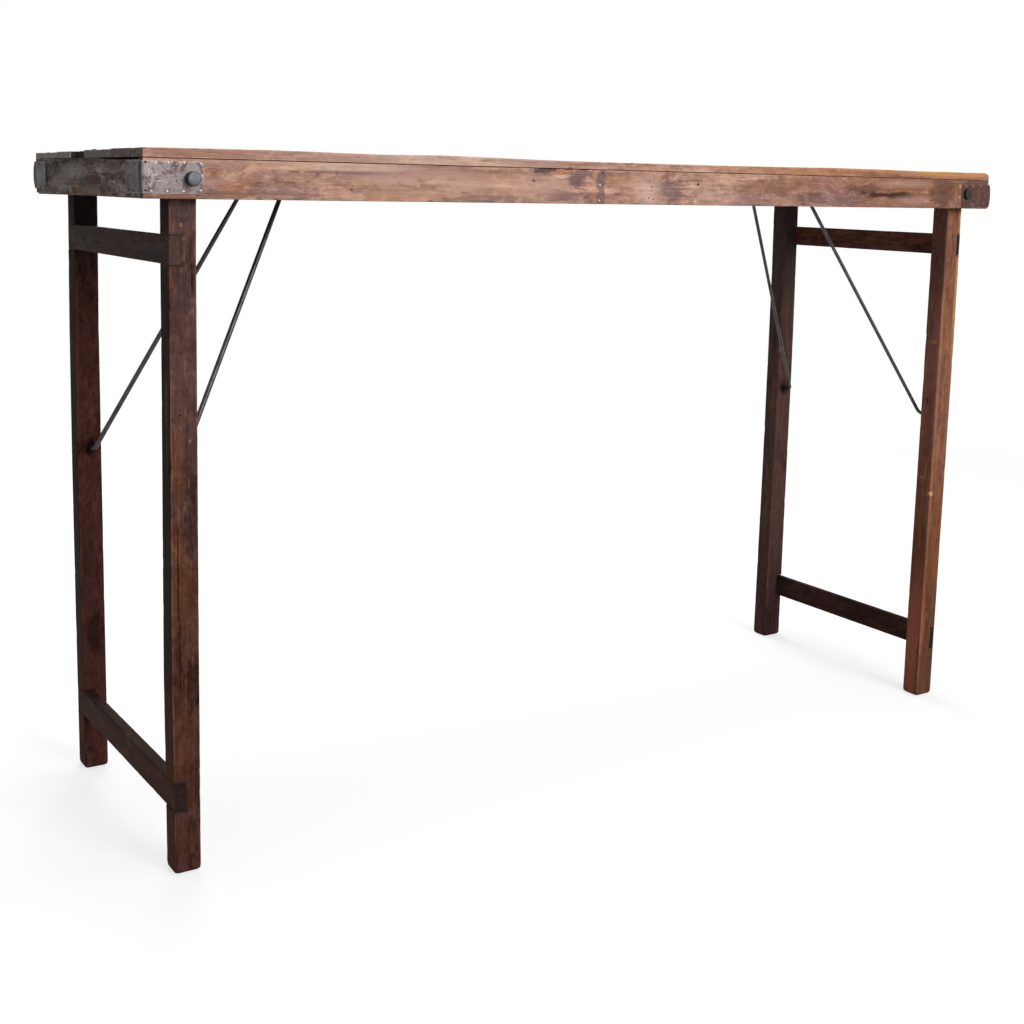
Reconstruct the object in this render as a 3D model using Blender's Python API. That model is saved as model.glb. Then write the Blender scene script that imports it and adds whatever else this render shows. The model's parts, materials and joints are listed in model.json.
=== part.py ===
"""Folding bar table: a plank top on a railed frame, two folding leg frames and their bent-rod stays.

Units are metres. +X runs along the table, -Y is its front and +Z is up.
The origin is on the floor under the middle of the top.
"""
import math

import bmesh
import bpy
from mathutils import Matrix, Vector

# Overall size and the top's boards
TABLE_HEIGHT = 1.100
TABLE_LENGTH = 1.770
TABLE_WIDTH = 0.556
PLANK_THICKNESS = 0.013
BACK_PLANK_THICKNESS = 0.0105
PLANK_SEAM = 0.0016
PLANK_END_ROUND = 0.0085
BROKEN_END_WIDTH = 0.076
BROKEN_END_DEPTH = 0.016

# Rails under the boards
RAIL_HEIGHT = 0.058
RAIL_THICKNESS = 0.023
RAIL_RABBET = 0.010
BATTEN_THICKNESS = 0.013
BATTEN_WIDTH = 0.060
BATTEN_LEG_CLEARANCE = 0.004

# Leg frames
LEG_DEPTH = 0.040
LEG_WIDTH = 0.038
LEG_END_INSET = 0.046
FOOT_CHAMFER = 0.004
STRETCHER_THICKNESS = {"left_upper": 0.018, "left_lower": 0.018, "right_upper": 0.009, "right_lower": 0.012}
UPPER_STRETCHER_DROP = 0.0527
UPPER_STRETCHER_HEIGHT = 0.042
LOWER_STRETCHER_BOTTOM = 0.101
LOWER_STRETCHER_HEIGHT = 0.046

# Corner straps
STRAP_THICKNESS = 0.002
STRAP_HEIGHT = 0.046
STRAP_END_LENGTH = 0.066
STRAP_PAST_BOLT = {"left": 0.0175, "right": 0.0125}
STRAP_RISE = {"left": 0.0015, "right": -0.0035}
STRAP_CORNER_RADIUS = 0.006

# Pivot bolts
PIVOT_INSET = {"left": 0.005, "right": 0.0}
BOLT_RADIUS = 0.005
BOLT_HEAD_RADIUS = 0.0105
BOLT_HEAD_BAND = {"left": 0.0105, "right": 0.003}
BOLT_HEAD_DOME = 0.0035
BOLT_END_PAST_NUT = 0.003
WASHER_RADIUS = 0.014
WASHER_THICKNESS = 0.0018
NUT_ACROSS_FLATS = 0.017
NUT_THICKNESS = 0.008

# Stays and their catches
ROD_RADIUS = 0.0035
ROD_BEND_RADIUS = 0.012
STAY_PIVOT_DROP = {"left": 0.4697, "right": 0.4577}
STAY_REACH = {"left": 0.238, "right": 0.250}
STAY_FOOT_INSET = 0.022
STAY_HEAD_HALF_WIDTH = 0.081
STAY_TENON = 0.018
CATCH_DROP = 0.022
CATCH_WIDTH = 0.040
CATCH_THICKNESS = 0.0025
CATCH_FLANGE_LENGTH = 0.036
CATCH_LIP_LENGTH = 0.013
CATCH_LIP_SLOPE = math.radians(16)

# Clearances and edge wear
SEAT_GAP = 0.0003
PIN_CLEARANCE = 0.00035
HOLE_END_CLEARANCE = 0.001
WOOD_EDGE = 0.0016
PLANK_EDGE = 0.0014
METAL_EDGE = 0.0004

# Facets
ROUND_SIDES = 24
ARC_STEPS = 6
BEND_STEPS = 4
EDGE_SEGMENTS = 2
SHARP_ANGLE = math.radians(40)
SMOOTH_ANGLE = math.radians(35)
ROD_BEVEL_RESOLUTION = 4

# Heights worked out from the top downwards
PLANK_BOTTOM = TABLE_HEIGHT - PLANK_THICKNESS
RAIL_TOP = PLANK_BOTTOM - SEAT_GAP
RAIL_BOTTOM = RAIL_TOP - RAIL_HEIGHT
PIVOT_HEIGHT = (RAIL_TOP + RAIL_BOTTOM) / 2
UPPER_STRETCHER_BOTTOM = RAIL_BOTTOM - UPPER_STRETCHER_DROP - UPPER_STRETCHER_HEIGHT
STAY_PIVOT_HEIGHT = {side: PIVOT_HEIGHT - drop for side, drop in STAY_PIVOT_DROP.items()}
BATTEN_BOTTOM = PLANK_BOTTOM - SEAT_GAP - BATTEN_THICKNESS
CATCH_TOP = BATTEN_BOTTOM - SEAT_GAP
STAY_HEAD_HEIGHT = CATCH_TOP - CATCH_DROP

# Half lengths along X and Y, from the outside in
HALF_LENGTH = TABLE_LENGTH / 2
HALF_WIDTH = TABLE_WIDTH / 2
LEG_X = HALF_LENGTH - LEG_END_INSET - LEG_DEPTH / 2
PIVOT_X = {side: LEG_X - inset for side, inset in PIVOT_INSET.items()}
RAIL_INNER_Y = HALF_WIDTH - RAIL_THICKNESS
LEG_OUTER_Y = RAIL_INNER_Y - WASHER_THICKNESS - 2 * SEAT_GAP
LEG_INNER_Y = LEG_OUTER_Y - LEG_WIDTH
NUT_WASHER_Y = LEG_INNER_Y - SEAT_GAP
NUT_Y = NUT_WASHER_Y - WASHER_THICKNESS - SEAT_GAP
BOLT_END_Y = NUT_Y - NUT_THICKNESS - BOLT_END_PAST_NUT
STRAP_INNER_Y = HALF_WIDTH + SEAT_GAP
BOLT_HEAD_Y = STRAP_INNER_Y + STRAP_THICKNESS + SEAT_GAP
BOLT_HOLE_RADIUS = BOLT_RADIUS + PIN_CLEARANCE
ROD_HOLE_RADIUS = ROD_RADIUS + PIN_CLEARANCE
STAY_FOOT_Y = LEG_INNER_Y - STAY_FOOT_INSET

SIDES = {"left": -1, "right": 1}
FACES = {"front": -1, "back": 1}


def clear_scene():
    for item in list(bpy.data.objects):
        bpy.data.objects.remove(item, do_unlink=True)


def make_material(name, colour, roughness, metallic):
    material = bpy.data.materials.new(name)
    material.use_nodes = True
    shader = material.node_tree.nodes["Principled BSDF"]
    shader.inputs["Base Color"].default_value = (*colour, 1.0)
    shader.inputs["Roughness"].default_value = roughness
    shader.inputs["Metallic"].default_value = metallic
    return material


class Body:
    """A rigid group of pieces under an empty that sits on the group's joint axis."""

    def __init__(self, name, origin, parent=None):
        self.origin = Vector(origin)
        self.empty = bpy.data.objects.new(name, None)
        self.empty.empty_display_size = 0.05
        bpy.context.collection.objects.link(self.empty)
        self.empty.location = self.origin
        if parent:
            self.empty.parent = parent.empty
            self.empty.location = self.origin - parent.origin

    def attach(self, item):
        bpy.context.collection.objects.link(item)
        item.parent = self.empty
        return item

    def add(self, name, bm, material):
        """Turns a bmesh in world coordinates into a named piece of this body."""
        bmesh.ops.translate(bm, verts=bm.verts, vec=-self.origin)
        bmesh.ops.recalc_face_normals(bm, faces=bm.faces)
        mesh = bpy.data.meshes.new(name)
        bm.to_mesh(mesh)
        bm.free()
        mesh.shade_smooth()
        mesh.set_sharp_from_angle(angle=SMOOTH_ANGLE)
        mesh.materials.append(material)
        return self.attach(bpy.data.objects.new(name, mesh))

    def cut(self, piece, name, bm):
        """Cuts a closed bmesh in world coordinates out of a piece of this body."""
        cutter = self.add(name, bm, piece.data.materials[0])
        cutter.hide_render = True
        cutter.display_type = "WIRE"
        modifier = piece.modifiers.new(name, "BOOLEAN")
        modifier.operation = "DIFFERENCE"
        modifier.solver = "EXACT"
        modifier.object = cutter


def prism(outline, axis, low, high):
    """An outline drawn out along an axis; its pairs are (y, z), (x, z) or (x, y) for X, Y or Z."""
    place = {
        "X": lambda a, b, along: (along, a, b),
        "Y": lambda a, b, along: (a, along, b),
        "Z": lambda a, b, along: (a, b, along),
    }[axis]
    bm = bmesh.new()
    rings = [[bm.verts.new(place(a, b, along)) for a, b in outline] for along in (low, high)]
    count = len(outline)
    for i in range(count):
        j = (i + 1) % count
        bm.faces.new((rings[0][i], rings[0][j], rings[1][j], rings[1][i]))
    bm.faces.new(rings[0])
    bm.faces.new(rings[1])
    bmesh.ops.recalc_face_normals(bm, faces=bm.faces)
    return bm


def box(low, high):
    outline = [(low[0], low[1]), (high[0], low[1]), (high[0], high[1]), (low[0], high[1])]
    return prism(outline, "Z", low[2], high[2])


def across_y(face, low, high):
    """A pair of distances from the middle as an ordered pair of Y values on one face's side."""
    return sorted((face * low, face * high))


def arc(centre, radius, start, end, steps):
    angles = [start + (end - start) * i / steps for i in range(steps + 1)]
    return [(centre[0] + radius * math.cos(a), centre[1] + radius * math.sin(a)) for a in angles]


def soften(bm, width, segments=1, keep=lambda edge: True):
    """Rounds the sharp edges that keep() accepts, as use wears them."""
    edges = [e for e in bm.edges if e.calc_face_angle(0.0) > SHARP_ANGLE and keep(e)]
    bmesh.ops.bevel(
        bm, geom=edges, offset=width, offset_type="OFFSET", segments=segments,
        profile=0.5, affect="EDGES", clamp_overlap=True,
    )
    return bm


def rod_along_y(x, z, radius, low, high):
    outline = arc((x, z), radius, 0.0, 2 * math.pi, ROUND_SIDES)[:-1]
    return prism(outline, "Y", low, high)


def ring_along_y(x, z, outer_radius_at, inner_radius, low, high):
    """A washer or nut round a Y axis; outer_radius_at(angle) gives its outline."""
    bm = bmesh.new()
    loops = []
    for y, inner in ((low, True), (low, False), (high, False), (high, True)):
        loop = []
        for i in range(ROUND_SIDES):
            angle = 2 * math.pi * i / ROUND_SIDES
            radius = inner_radius if inner else outer_radius_at(angle)
            loop.append(bm.verts.new((x + radius * math.cos(angle), y, z + radius * math.sin(angle))))
        loops.append(loop)
    for first, second in zip(loops, loops[1:] + loops[:1]):
        for i in range(ROUND_SIDES):
            j = (i + 1) % ROUND_SIDES
            bm.faces.new((first[i], first[j], second[j], second[i]))
    return bm


def hexagon_radius(angle):
    sector = math.pi / 3
    return NUT_ACROSS_FLATS / 2 / math.cos(angle % sector - sector / 2)


def turned_along_y(x, z, profile):
    """A solid of revolution round a Y axis from (radius, y) pairs that start and end on the axis."""
    bm = bmesh.new()
    rings = []
    for radius, y in profile:
        if radius == 0.0:
            rings.append([bm.verts.new((x, y, z))])
            continue
        points = arc((x, z), radius, 0.0, 2 * math.pi, ROUND_SIDES)[:-1]
        rings.append([bm.verts.new((px, y, pz)) for px, pz in points])
    for first, second in zip(rings, rings[1:]):
        for i in range(ROUND_SIDES):
            j = (i + 1) % ROUND_SIDES
            corners = [first[i % len(first)], first[j % len(first)]]
            corners += [second[j % len(second)], second[i % len(second)]]
            bm.faces.new(list(dict.fromkeys(corners)))
    return bm


def ribbon(centreline, thickness):
    """The outline of a strip of even thickness along a line of (u, w) points."""
    left, right = [], []
    for i, point in enumerate(centreline):
        before = Vector(centreline[max(i - 1, 0)])
        after = Vector(centreline[min(i + 1, len(centreline) - 1)])
        along = (after - before).normalized()
        normal = Vector((-along.y, along.x)) * thickness / 2
        left.append(tuple(Vector(point) + normal))
        right.append(tuple(Vector(point) - normal))
    return left + right[::-1]


def rounded_path(points, radius):
    """A path whose inner corners are arcs of one radius."""
    points = [Vector(p) for p in points]
    path = [points[0]]
    for before, corner, after in zip(points, points[1:], points[2:]):
        incoming = (corner - before).normalized()
        outgoing = (after - corner).normalized()
        turn = incoming.angle(outgoing)
        start = corner - incoming * radius * math.tan(turn / 2)
        centre = corner + (outgoing - incoming).normalized() * radius / math.cos(turn / 2)
        spin_axis = incoming.cross(outgoing).normalized()
        for step in range(ARC_STEPS + 1):
            spin = Matrix.Rotation(turn * step / ARC_STEPS, 3, spin_axis)
            path.append(centre + spin @ (start - centre))
    path.append(points[-1])
    return path


def plank_outline(low_y, high_y, broken):
    """A board's plan; one board has its left end broken away."""
    outline = [(HALF_LENGTH, low_y), (HALF_LENGTH, high_y), (-HALF_LENGTH, high_y)]
    if not broken:
        return outline + [(-HALF_LENGTH, low_y)]
    for depth, reach in ((0.0, 1.0), (0.55, 0.88), (0.7, 0.62), (1.0, 0.38), (0.8, 0.0)):
        outline.append((depth * BROKEN_END_DEPTH - HALF_LENGTH, low_y + reach * BROKEN_END_WIDTH))
    return outline


def build_planks(top, wood):
    """Four boards; the back pair is worn thinner, and every right end is rounded over."""
    thicknesses = {
        "plank_front": PLANK_THICKNESS,
        "plank_mid_front": PLANK_THICKNESS,
        "plank_mid_back": BACK_PLANK_THICKNESS,
        "plank_back": BACK_PLANK_THICKNESS,
    }
    width = (TABLE_WIDTH - (len(thicknesses) - 1) * PLANK_SEAM) / len(thicknesses)
    for i, (name, thickness) in enumerate(thicknesses.items()):
        low_y = -HALF_WIDTH + i * (width + PLANK_SEAM)
        outline = plank_outline(low_y, low_y + width, broken=name == "plank_mid_back")
        bm = prism(outline, "Z", PLANK_BOTTOM, PLANK_BOTTOM + thickness)
        right_end = Vector((HALF_LENGTH, 0.0, PLANK_BOTTOM + thickness))

        def on_right_end(edge):
            return all(abs(v.co.x - right_end.x) + abs(v.co.z - right_end.z) < SEAT_GAP for v in edge.verts)

        soften(bm, PLANK_END_ROUND, ARC_STEPS, on_right_end)
        above = PLANK_BOTTOM + SEAT_GAP
        soften(bm, PLANK_EDGE, EDGE_SEGMENTS, lambda e: any(v.co.z > above for v in e.verts))
        top.add(name, bm, wood)


def build_rails(top, wood):
    for face_name, face in FACES.items():
        low_y, high_y = across_y(face, RAIL_INNER_Y, HALF_WIDTH)
        bm = box((-HALF_LENGTH, low_y, RAIL_BOTTOM), (HALF_LENGTH, high_y, RAIL_TOP))
        rail = top.add(f"rail_{face_name}", soften(bm, WOOD_EDGE, EDGE_SEGMENTS), wood)
        for side_name, side in SIDES.items():
            low_y, high_y = across_y(face, BOLT_END_Y, BOLT_HEAD_Y)
            bore = rod_along_y(side * PIVOT_X[side_name], PIVOT_HEIGHT, BOLT_HOLE_RADIUS, low_y, high_y)
            top.cut(rail, f"cut_rail_{face_name}_{side_name}_bore", bore)
            low_y, high_y = across_y(face, RAIL_INNER_Y - RAIL_THICKNESS, RAIL_INNER_Y + RAIL_RABBET)
            low_x, high_x = sorted(
                (side * (HALF_LENGTH - RAIL_THICKNESS), side * (HALF_LENGTH + RAIL_THICKNESS))
            )
            rabbet = box((low_x, low_y, RAIL_BOTTOM - RAIL_HEIGHT), (high_x, high_y, RAIL_TOP + RAIL_HEIGHT))
            top.cut(rail, f"cut_rail_{face_name}_{side_name}_rabbet", rabbet)
    for side_name, side in SIDES.items():
        low_x, high_x = sorted((side * (HALF_LENGTH - RAIL_THICKNESS + SEAT_GAP), side * HALF_LENGTH))
        reach = RAIL_INNER_Y + RAIL_RABBET - SEAT_GAP
        bm = box((low_x, -reach, RAIL_BOTTOM), (high_x, reach, RAIL_TOP))
        top.add(f"rail_{side_name}", soften(bm, WOOD_EDGE, EDGE_SEGMENTS), wood)


def catch_x(side_name):
    return SIDES[side_name] * (LEG_X - STAY_REACH[side_name])


def build_battens(top, wood):
    reach = LEG_INNER_Y - BATTEN_LEG_CLEARANCE
    middles = {"batten_left": catch_x("left"), "batten_middle": 0.0, "batten_right": catch_x("right")}
    for name, x in middles.items():
        low = (x - BATTEN_WIDTH / 2, -reach, BATTEN_BOTTOM)
        high = (x + BATTEN_WIDTH / 2, reach, BATTEN_BOTTOM + BATTEN_THICKNESS)
        top.add(name, soften(box(low, high), WOOD_EDGE), wood)


def build_strap(top, steel, side_name, face_name):
    """A strip bent round a top corner and bored for the pivot bolt."""
    side, face = SIDES[side_name], FACES[face_name]
    inner_x = HALF_LENGTH + SEAT_GAP
    front_end = PIVOT_X[side_name] - STRAP_PAST_BOLT[side_name]
    back_end = HALF_WIDTH - STRAP_END_LENGTH
    bend_centre = (inner_x - STRAP_THICKNESS, STRAP_INNER_Y - STRAP_THICKNESS)
    bend = arc(bend_centre, 2 * STRAP_THICKNESS, 0.0, math.pi / 2, BEND_STEPS)
    outline = [(inner_x, back_end), (inner_x + STRAP_THICKNESS, back_end), *bend]
    outline += [(front_end, STRAP_INNER_Y + STRAP_THICKNESS), (front_end, STRAP_INNER_Y)]
    outline.append((inner_x, STRAP_INNER_Y))
    outline = [(side * x, face * y) for x, y in outline]
    bottom = PIVOT_HEIGHT + STRAP_RISE[side_name] - STRAP_HEIGHT / 2
    bm = prism(outline, "Z", bottom, bottom + STRAP_HEIGHT)

    def is_corner(edge):
        a, b = (v.co for v in edge.verts)
        at_front_end = all(abs(abs(p.x) - front_end) < SEAT_GAP for p in (a, b))
        at_back_end = all(abs(abs(p.y) - back_end) < SEAT_GAP for p in (a, b))
        return (at_front_end or at_back_end) and abs(a.z - b.z) < SEAT_GAP

    soften(bm, STRAP_CORNER_RADIUS, BEND_STEPS, is_corner)
    strap = top.add(f"strap_{side_name}_{face_name}", bm, steel)
    low_y, high_y = across_y(face, RAIL_INNER_Y, BOLT_HEAD_Y + STRAP_THICKNESS)
    bore = rod_along_y(side * PIVOT_X[side_name], PIVOT_HEIGHT, BOLT_HOLE_RADIUS, low_y, high_y)
    top.cut(strap, f"cut_strap_{side_name}_{face_name}", bore)


def build_pivot_hardware(top, steel, side_name, face_name):
    """The pivot bolt with a washer between rail and leg, and a washer and nut inside the leg."""
    x, face = SIDES[side_name] * PIVOT_X[side_name], FACES[face_name]
    tag = f"{side_name}_{face_name}"
    band_top = BOLT_HEAD_Y + BOLT_HEAD_BAND[side_name]
    dome = arc((0.0, 0.0), 1.0, 0.0, math.pi / 2, ARC_STEPS)[:-1]
    profile = [
        (0.0, BOLT_END_Y),
        (BOLT_RADIUS - METAL_EDGE, BOLT_END_Y),
        (BOLT_RADIUS, BOLT_END_Y + METAL_EDGE),
        (BOLT_RADIUS, BOLT_HEAD_Y),
        (BOLT_HEAD_RADIUS, BOLT_HEAD_Y),
    ]
    profile += [(BOLT_HEAD_RADIUS * a, band_top + BOLT_HEAD_DOME * b) for a, b in dome]
    profile.append((0.0, band_top + BOLT_HEAD_DOME))
    profile = [(radius, face * y) for radius, y in profile]
    top.add(f"bolt_{tag}", turned_along_y(x, PIVOT_HEIGHT, profile), steel)

    rings = {
        f"washer_{tag}": (RAIL_INNER_Y - SEAT_GAP, WASHER_THICKNESS, lambda angle: WASHER_RADIUS),
        f"nut_washer_{tag}": (NUT_WASHER_Y, WASHER_THICKNESS, lambda angle: WASHER_RADIUS),
        f"nut_{tag}": (NUT_Y, NUT_THICKNESS, hexagon_radius),
    }
    for name, (outer_y, thickness, outline) in rings.items():
        low_y, high_y = across_y(face, outer_y - thickness, outer_y)
        bm = ring_along_y(x, PIVOT_HEIGHT, outline, BOLT_HOLE_RADIUS, low_y, high_y)
        top.add(name, bm, steel)


def build_catch(top, steel, side_name):
    """A strip hook under the batten: the stay's head lies on its lip and leaves towards the middle."""
    inward = -SIDES[side_name]
    bar_x = catch_x(side_name)
    hook_radius = ROD_RADIUS + SEAT_GAP + CATCH_THICKNESS / 2
    flange_w = CATCH_DROP - CATCH_THICKNESS / 2
    corner_radius = 2 * CATCH_THICKNESS
    corner_centre = (corner_radius - hook_radius, flange_w - corner_radius)
    corner = arc(corner_centre, corner_radius, math.pi / 2, math.pi, BEND_STEPS)
    hook = arc((0.0, 0.0), hook_radius, math.pi, 1.5 * math.pi - CATCH_LIP_SLOPE, ARC_STEPS)
    lip_u = hook[-1][0] + CATCH_LIP_LENGTH * math.cos(CATCH_LIP_SLOPE)
    lip_w = hook[-1][1] - CATCH_LIP_LENGTH * math.sin(CATCH_LIP_SLOPE)
    line = [(CATCH_FLANGE_LENGTH - hook_radius, flange_w), *corner, *hook, (lip_u, lip_w)]
    outline = [(bar_x + inward * u, STAY_HEAD_HEIGHT + w) for u, w in ribbon(line, CATCH_THICKNESS)]
    bm = prism(outline, "Y", -CATCH_WIDTH / 2, CATCH_WIDTH / 2)
    top.add(f"catch_{side_name}", bm, steel)


def stretcher_x(side_name, height_name):
    side = SIDES[side_name]
    outer = side * (LEG_X + LEG_DEPTH / 2)
    return sorted((outer, outer - side * STRETCHER_THICKNESS[f"{side_name}_{height_name}"]))


STRETCHERS = {
    "upper": (UPPER_STRETCHER_BOTTOM, UPPER_STRETCHER_HEIGHT),
    "lower": (LOWER_STRETCHER_BOTTOM, LOWER_STRETCHER_HEIGHT),
}


def build_leg(frame, wood, side_name, face_name):
    """A post with a round top, a bore for the pivot, notches for the stretchers and a hole for the stay."""
    side, face = SIDES[side_name], FACES[face_name]
    tag = f"{side_name}_{face_name}"
    x = side * LEG_X
    half = LEG_DEPTH / 2
    outline = [(x - half, 0.0), (x + half, 0.0)]
    outline += arc((x, PIVOT_HEIGHT), half, 0.0, math.pi, 2 * ARC_STEPS)
    low_y, high_y = across_y(face, LEG_INNER_Y, LEG_OUTER_Y)
    bm = prism(outline, "Y", low_y, high_y)
    soften(bm, FOOT_CHAMFER, 1, lambda e: all(v.co.z < FOOT_CHAMFER for v in e.verts))
    soften(bm, WOOD_EDGE, EDGE_SEGMENTS, lambda e: any(v.co.z > 2 * FOOT_CHAMFER for v in e.verts))
    leg = frame.add(f"leg_{tag}", bm, wood)

    pivot_x = side * PIVOT_X[side_name]
    pivot_bore = rod_along_y(pivot_x, PIVOT_HEIGHT, BOLT_HOLE_RADIUS, low_y - LEG_WIDTH, high_y + LEG_WIDTH)
    frame.cut(leg, f"cut_leg_{tag}_pivot", pivot_bore)
    for height_name, (bottom, height) in STRETCHERS.items():
        low_x, high_x = stretcher_x(side_name, height_name)
        low_x -= SEAT_GAP if side > 0 else LEG_DEPTH
        high_x += SEAT_GAP if side < 0 else LEG_DEPTH
        notch = box(
            (low_x, low_y - LEG_WIDTH, bottom - SEAT_GAP),
            (high_x, high_y + LEG_WIDTH, bottom + height + SEAT_GAP),
        )
        frame.cut(leg, f"cut_leg_{tag}_{height_name}", notch)
    hole = across_y(face, LEG_INNER_Y - LEG_WIDTH, LEG_INNER_Y + STAY_TENON + HOLE_END_CLEARANCE)
    stay_hole = rod_along_y(x, STAY_PIVOT_HEIGHT[side_name], ROD_HOLE_RADIUS, *hole)
    frame.cut(leg, f"cut_leg_{tag}_stay", stay_hole)


def build_leg_frame(frame, wood, stretcher_wood, side_name):
    for face_name in FACES:
        build_leg(frame, wood, side_name, face_name)
    for height_name, (bottom, height) in STRETCHERS.items():
        low_x, high_x = stretcher_x(side_name, height_name)
        bm = box((low_x, -LEG_OUTER_Y, bottom), (high_x, LEG_OUTER_Y, bottom + height))
        soften(bm, WOOD_EDGE, EDGE_SEGMENTS)
        frame.add(f"stretcher_{side_name}_{height_name}", bm, stretcher_wood)


def build_stay(stay, steel, side_name):
    """One rod bent into a bail: two feet in the legs, two arms and a head in the catch."""
    pivot_x = SIDES[side_name] * LEG_X
    pivot_z = STAY_PIVOT_HEIGHT[side_name]
    head_x = catch_x(side_name)
    half = [
        (pivot_x, LEG_INNER_Y + STAY_TENON, pivot_z),
        (pivot_x, STAY_FOOT_Y, pivot_z),
        (head_x, STAY_HEAD_HALF_WIDTH, STAY_HEAD_HEIGHT),
    ]
    corners = [(x, -y, z) for x, y, z in half] + half[::-1]
    name = f"stay_{side_name}"
    curve = bpy.data.curves.new(name, "CURVE")
    curve.dimensions = "3D"
    curve.bevel_depth = ROD_RADIUS
    curve.bevel_resolution = ROD_BEVEL_RESOLUTION
    curve.use_fill_caps = True
    curve.materials.append(steel)
    path = rounded_path(corners, ROD_BEND_RADIUS)
    spline = curve.splines.new("POLY")
    spline.points.add(len(path) - 1)
    for point, place in zip(spline.points, path):
        point.co = (*(place - stay.origin), 1.0)
    stay.attach(bpy.data.objects.new(name, curve))


def build_table():
    clear_scene()
    board_wood = make_material("board_wood", (0.33, 0.19, 0.12), 0.7, 0.0)
    rail_wood = make_material("rail_wood", (0.28, 0.15, 0.10), 0.7, 0.0)
    leg_wood = make_material("leg_wood", (0.10, 0.05, 0.035), 0.6, 0.0)
    stretcher_wood = make_material("stretcher_wood", (0.035, 0.025, 0.02), 0.65, 0.0)
    strap_steel = make_material("strap_steel", (0.22, 0.20, 0.20), 0.5, 0.9)
    dark_steel = make_material("dark_steel", (0.06, 0.06, 0.06), 0.45, 0.9)

    top = Body("top", (0.0, 0.0, 0.0))
    build_planks(top, board_wood)
    build_rails(top, rail_wood)
    build_battens(top, rail_wood)
    for side_name, side in SIDES.items():
        for face_name in FACES:
            build_strap(top, strap_steel, side_name, face_name)
            build_pivot_hardware(top, dark_steel, side_name, face_name)
        build_catch(top, dark_steel, side_name)
        frame = Body(f"{side_name}_leg_frame", (side * PIVOT_X[side_name], 0.0, PIVOT_HEIGHT), top)
        build_leg_frame(frame, leg_wood, stretcher_wood, side_name)
        stay_axis = (side * LEG_X, 0.0, STAY_PIVOT_HEIGHT[side_name])
        build_stay(Body(f"{side_name}_stay", stay_axis, frame), dark_steel, side_name)


build_table()
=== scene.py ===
"""Looks of the folding bar table: worn boards and posts, strapped corners, bent-rod stays.

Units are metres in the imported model's frame: +X along the table, -Y its front, +Z up.
"""
import json
import math
from types import SimpleNamespace

import bmesh
import bpy
from mathutils import Matrix, Vector, noise


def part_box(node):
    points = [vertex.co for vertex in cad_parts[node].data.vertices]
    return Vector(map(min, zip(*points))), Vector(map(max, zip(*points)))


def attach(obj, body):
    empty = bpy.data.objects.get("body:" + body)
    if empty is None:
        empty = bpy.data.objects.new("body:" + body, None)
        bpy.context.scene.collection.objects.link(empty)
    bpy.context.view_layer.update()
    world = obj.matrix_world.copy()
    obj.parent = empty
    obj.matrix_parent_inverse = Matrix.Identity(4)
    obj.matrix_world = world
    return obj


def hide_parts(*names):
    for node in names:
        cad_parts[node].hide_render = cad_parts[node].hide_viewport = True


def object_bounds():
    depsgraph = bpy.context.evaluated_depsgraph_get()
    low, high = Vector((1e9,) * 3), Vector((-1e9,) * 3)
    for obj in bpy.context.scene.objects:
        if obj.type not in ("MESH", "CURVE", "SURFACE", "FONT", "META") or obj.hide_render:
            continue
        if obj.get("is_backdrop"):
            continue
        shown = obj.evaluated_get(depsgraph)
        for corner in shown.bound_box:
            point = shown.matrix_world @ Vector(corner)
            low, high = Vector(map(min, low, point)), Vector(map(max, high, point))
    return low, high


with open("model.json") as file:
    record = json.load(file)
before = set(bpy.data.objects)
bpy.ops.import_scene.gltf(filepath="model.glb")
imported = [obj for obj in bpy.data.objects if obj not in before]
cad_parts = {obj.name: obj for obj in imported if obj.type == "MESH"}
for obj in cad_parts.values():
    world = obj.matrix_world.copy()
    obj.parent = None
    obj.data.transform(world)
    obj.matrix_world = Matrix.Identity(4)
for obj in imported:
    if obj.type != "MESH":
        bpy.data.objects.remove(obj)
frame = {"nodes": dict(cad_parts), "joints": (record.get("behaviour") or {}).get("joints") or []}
CAD_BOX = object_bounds()
PIVOTS = {joint["name"]: Vector(joint["pos_m"]) for joint in frame["joints"]}

SIDES = {"left": -1, "right": 1}
FACES = {"front": -1, "back": 1}
AXES = "XYZ"
BATTENS = ("batten_left", "batten_middle", "batten_right")
MM = 0.001

# Camera, fitted to the photograph's perspective
CAMERA_PLACE = (-1.5602, -2.2739, 1.0577)
CAMERA_YAW = math.radians(31.975)
CAMERA_PITCH = math.radians(8.221)
CAMERA_ROLL = math.radians(1.141)
CAMERA_FOCUS_PX = 1451.8
CAMERA_CENTRE_PX = (484.6, 394.4)
IMAGE_PX = 1024
SENSOR_MM = 36.0
CAMERA_FAR = 200.0

# Paper floor, sky and lamps, each lamp as (place, target, size, power)
FLOOR_HALF = 60.0
FLOOR_DROP = 0.0004
FLOOR_FADE = (2.2, 4.2)
FLOOR_GLOW = 0.66
FLOOR_PAPER = (0.42, 0.42, 0.42)
FLOOR_UNSEEN = (0.30, 0.30, 0.30)
WHITE = (1.0, 1.0, 1.0)
SKY_UNSEEN = 0.30
SKY_SEEN = 1.0
LAMPS = {
    "key": ((0.7, -5.0, 2.7), (0.0, 0.0, 0.75), 3.0, 195.0),
    "overhead": ((0.0, 0.3, 3.6), (0.0, 0.0, 0.6), 2.8, 58.0),
    "back": ((0.8, 3.8, 2.4), (0.0, 0.0, 0.7), 2.4, 80.0),
}

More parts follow.
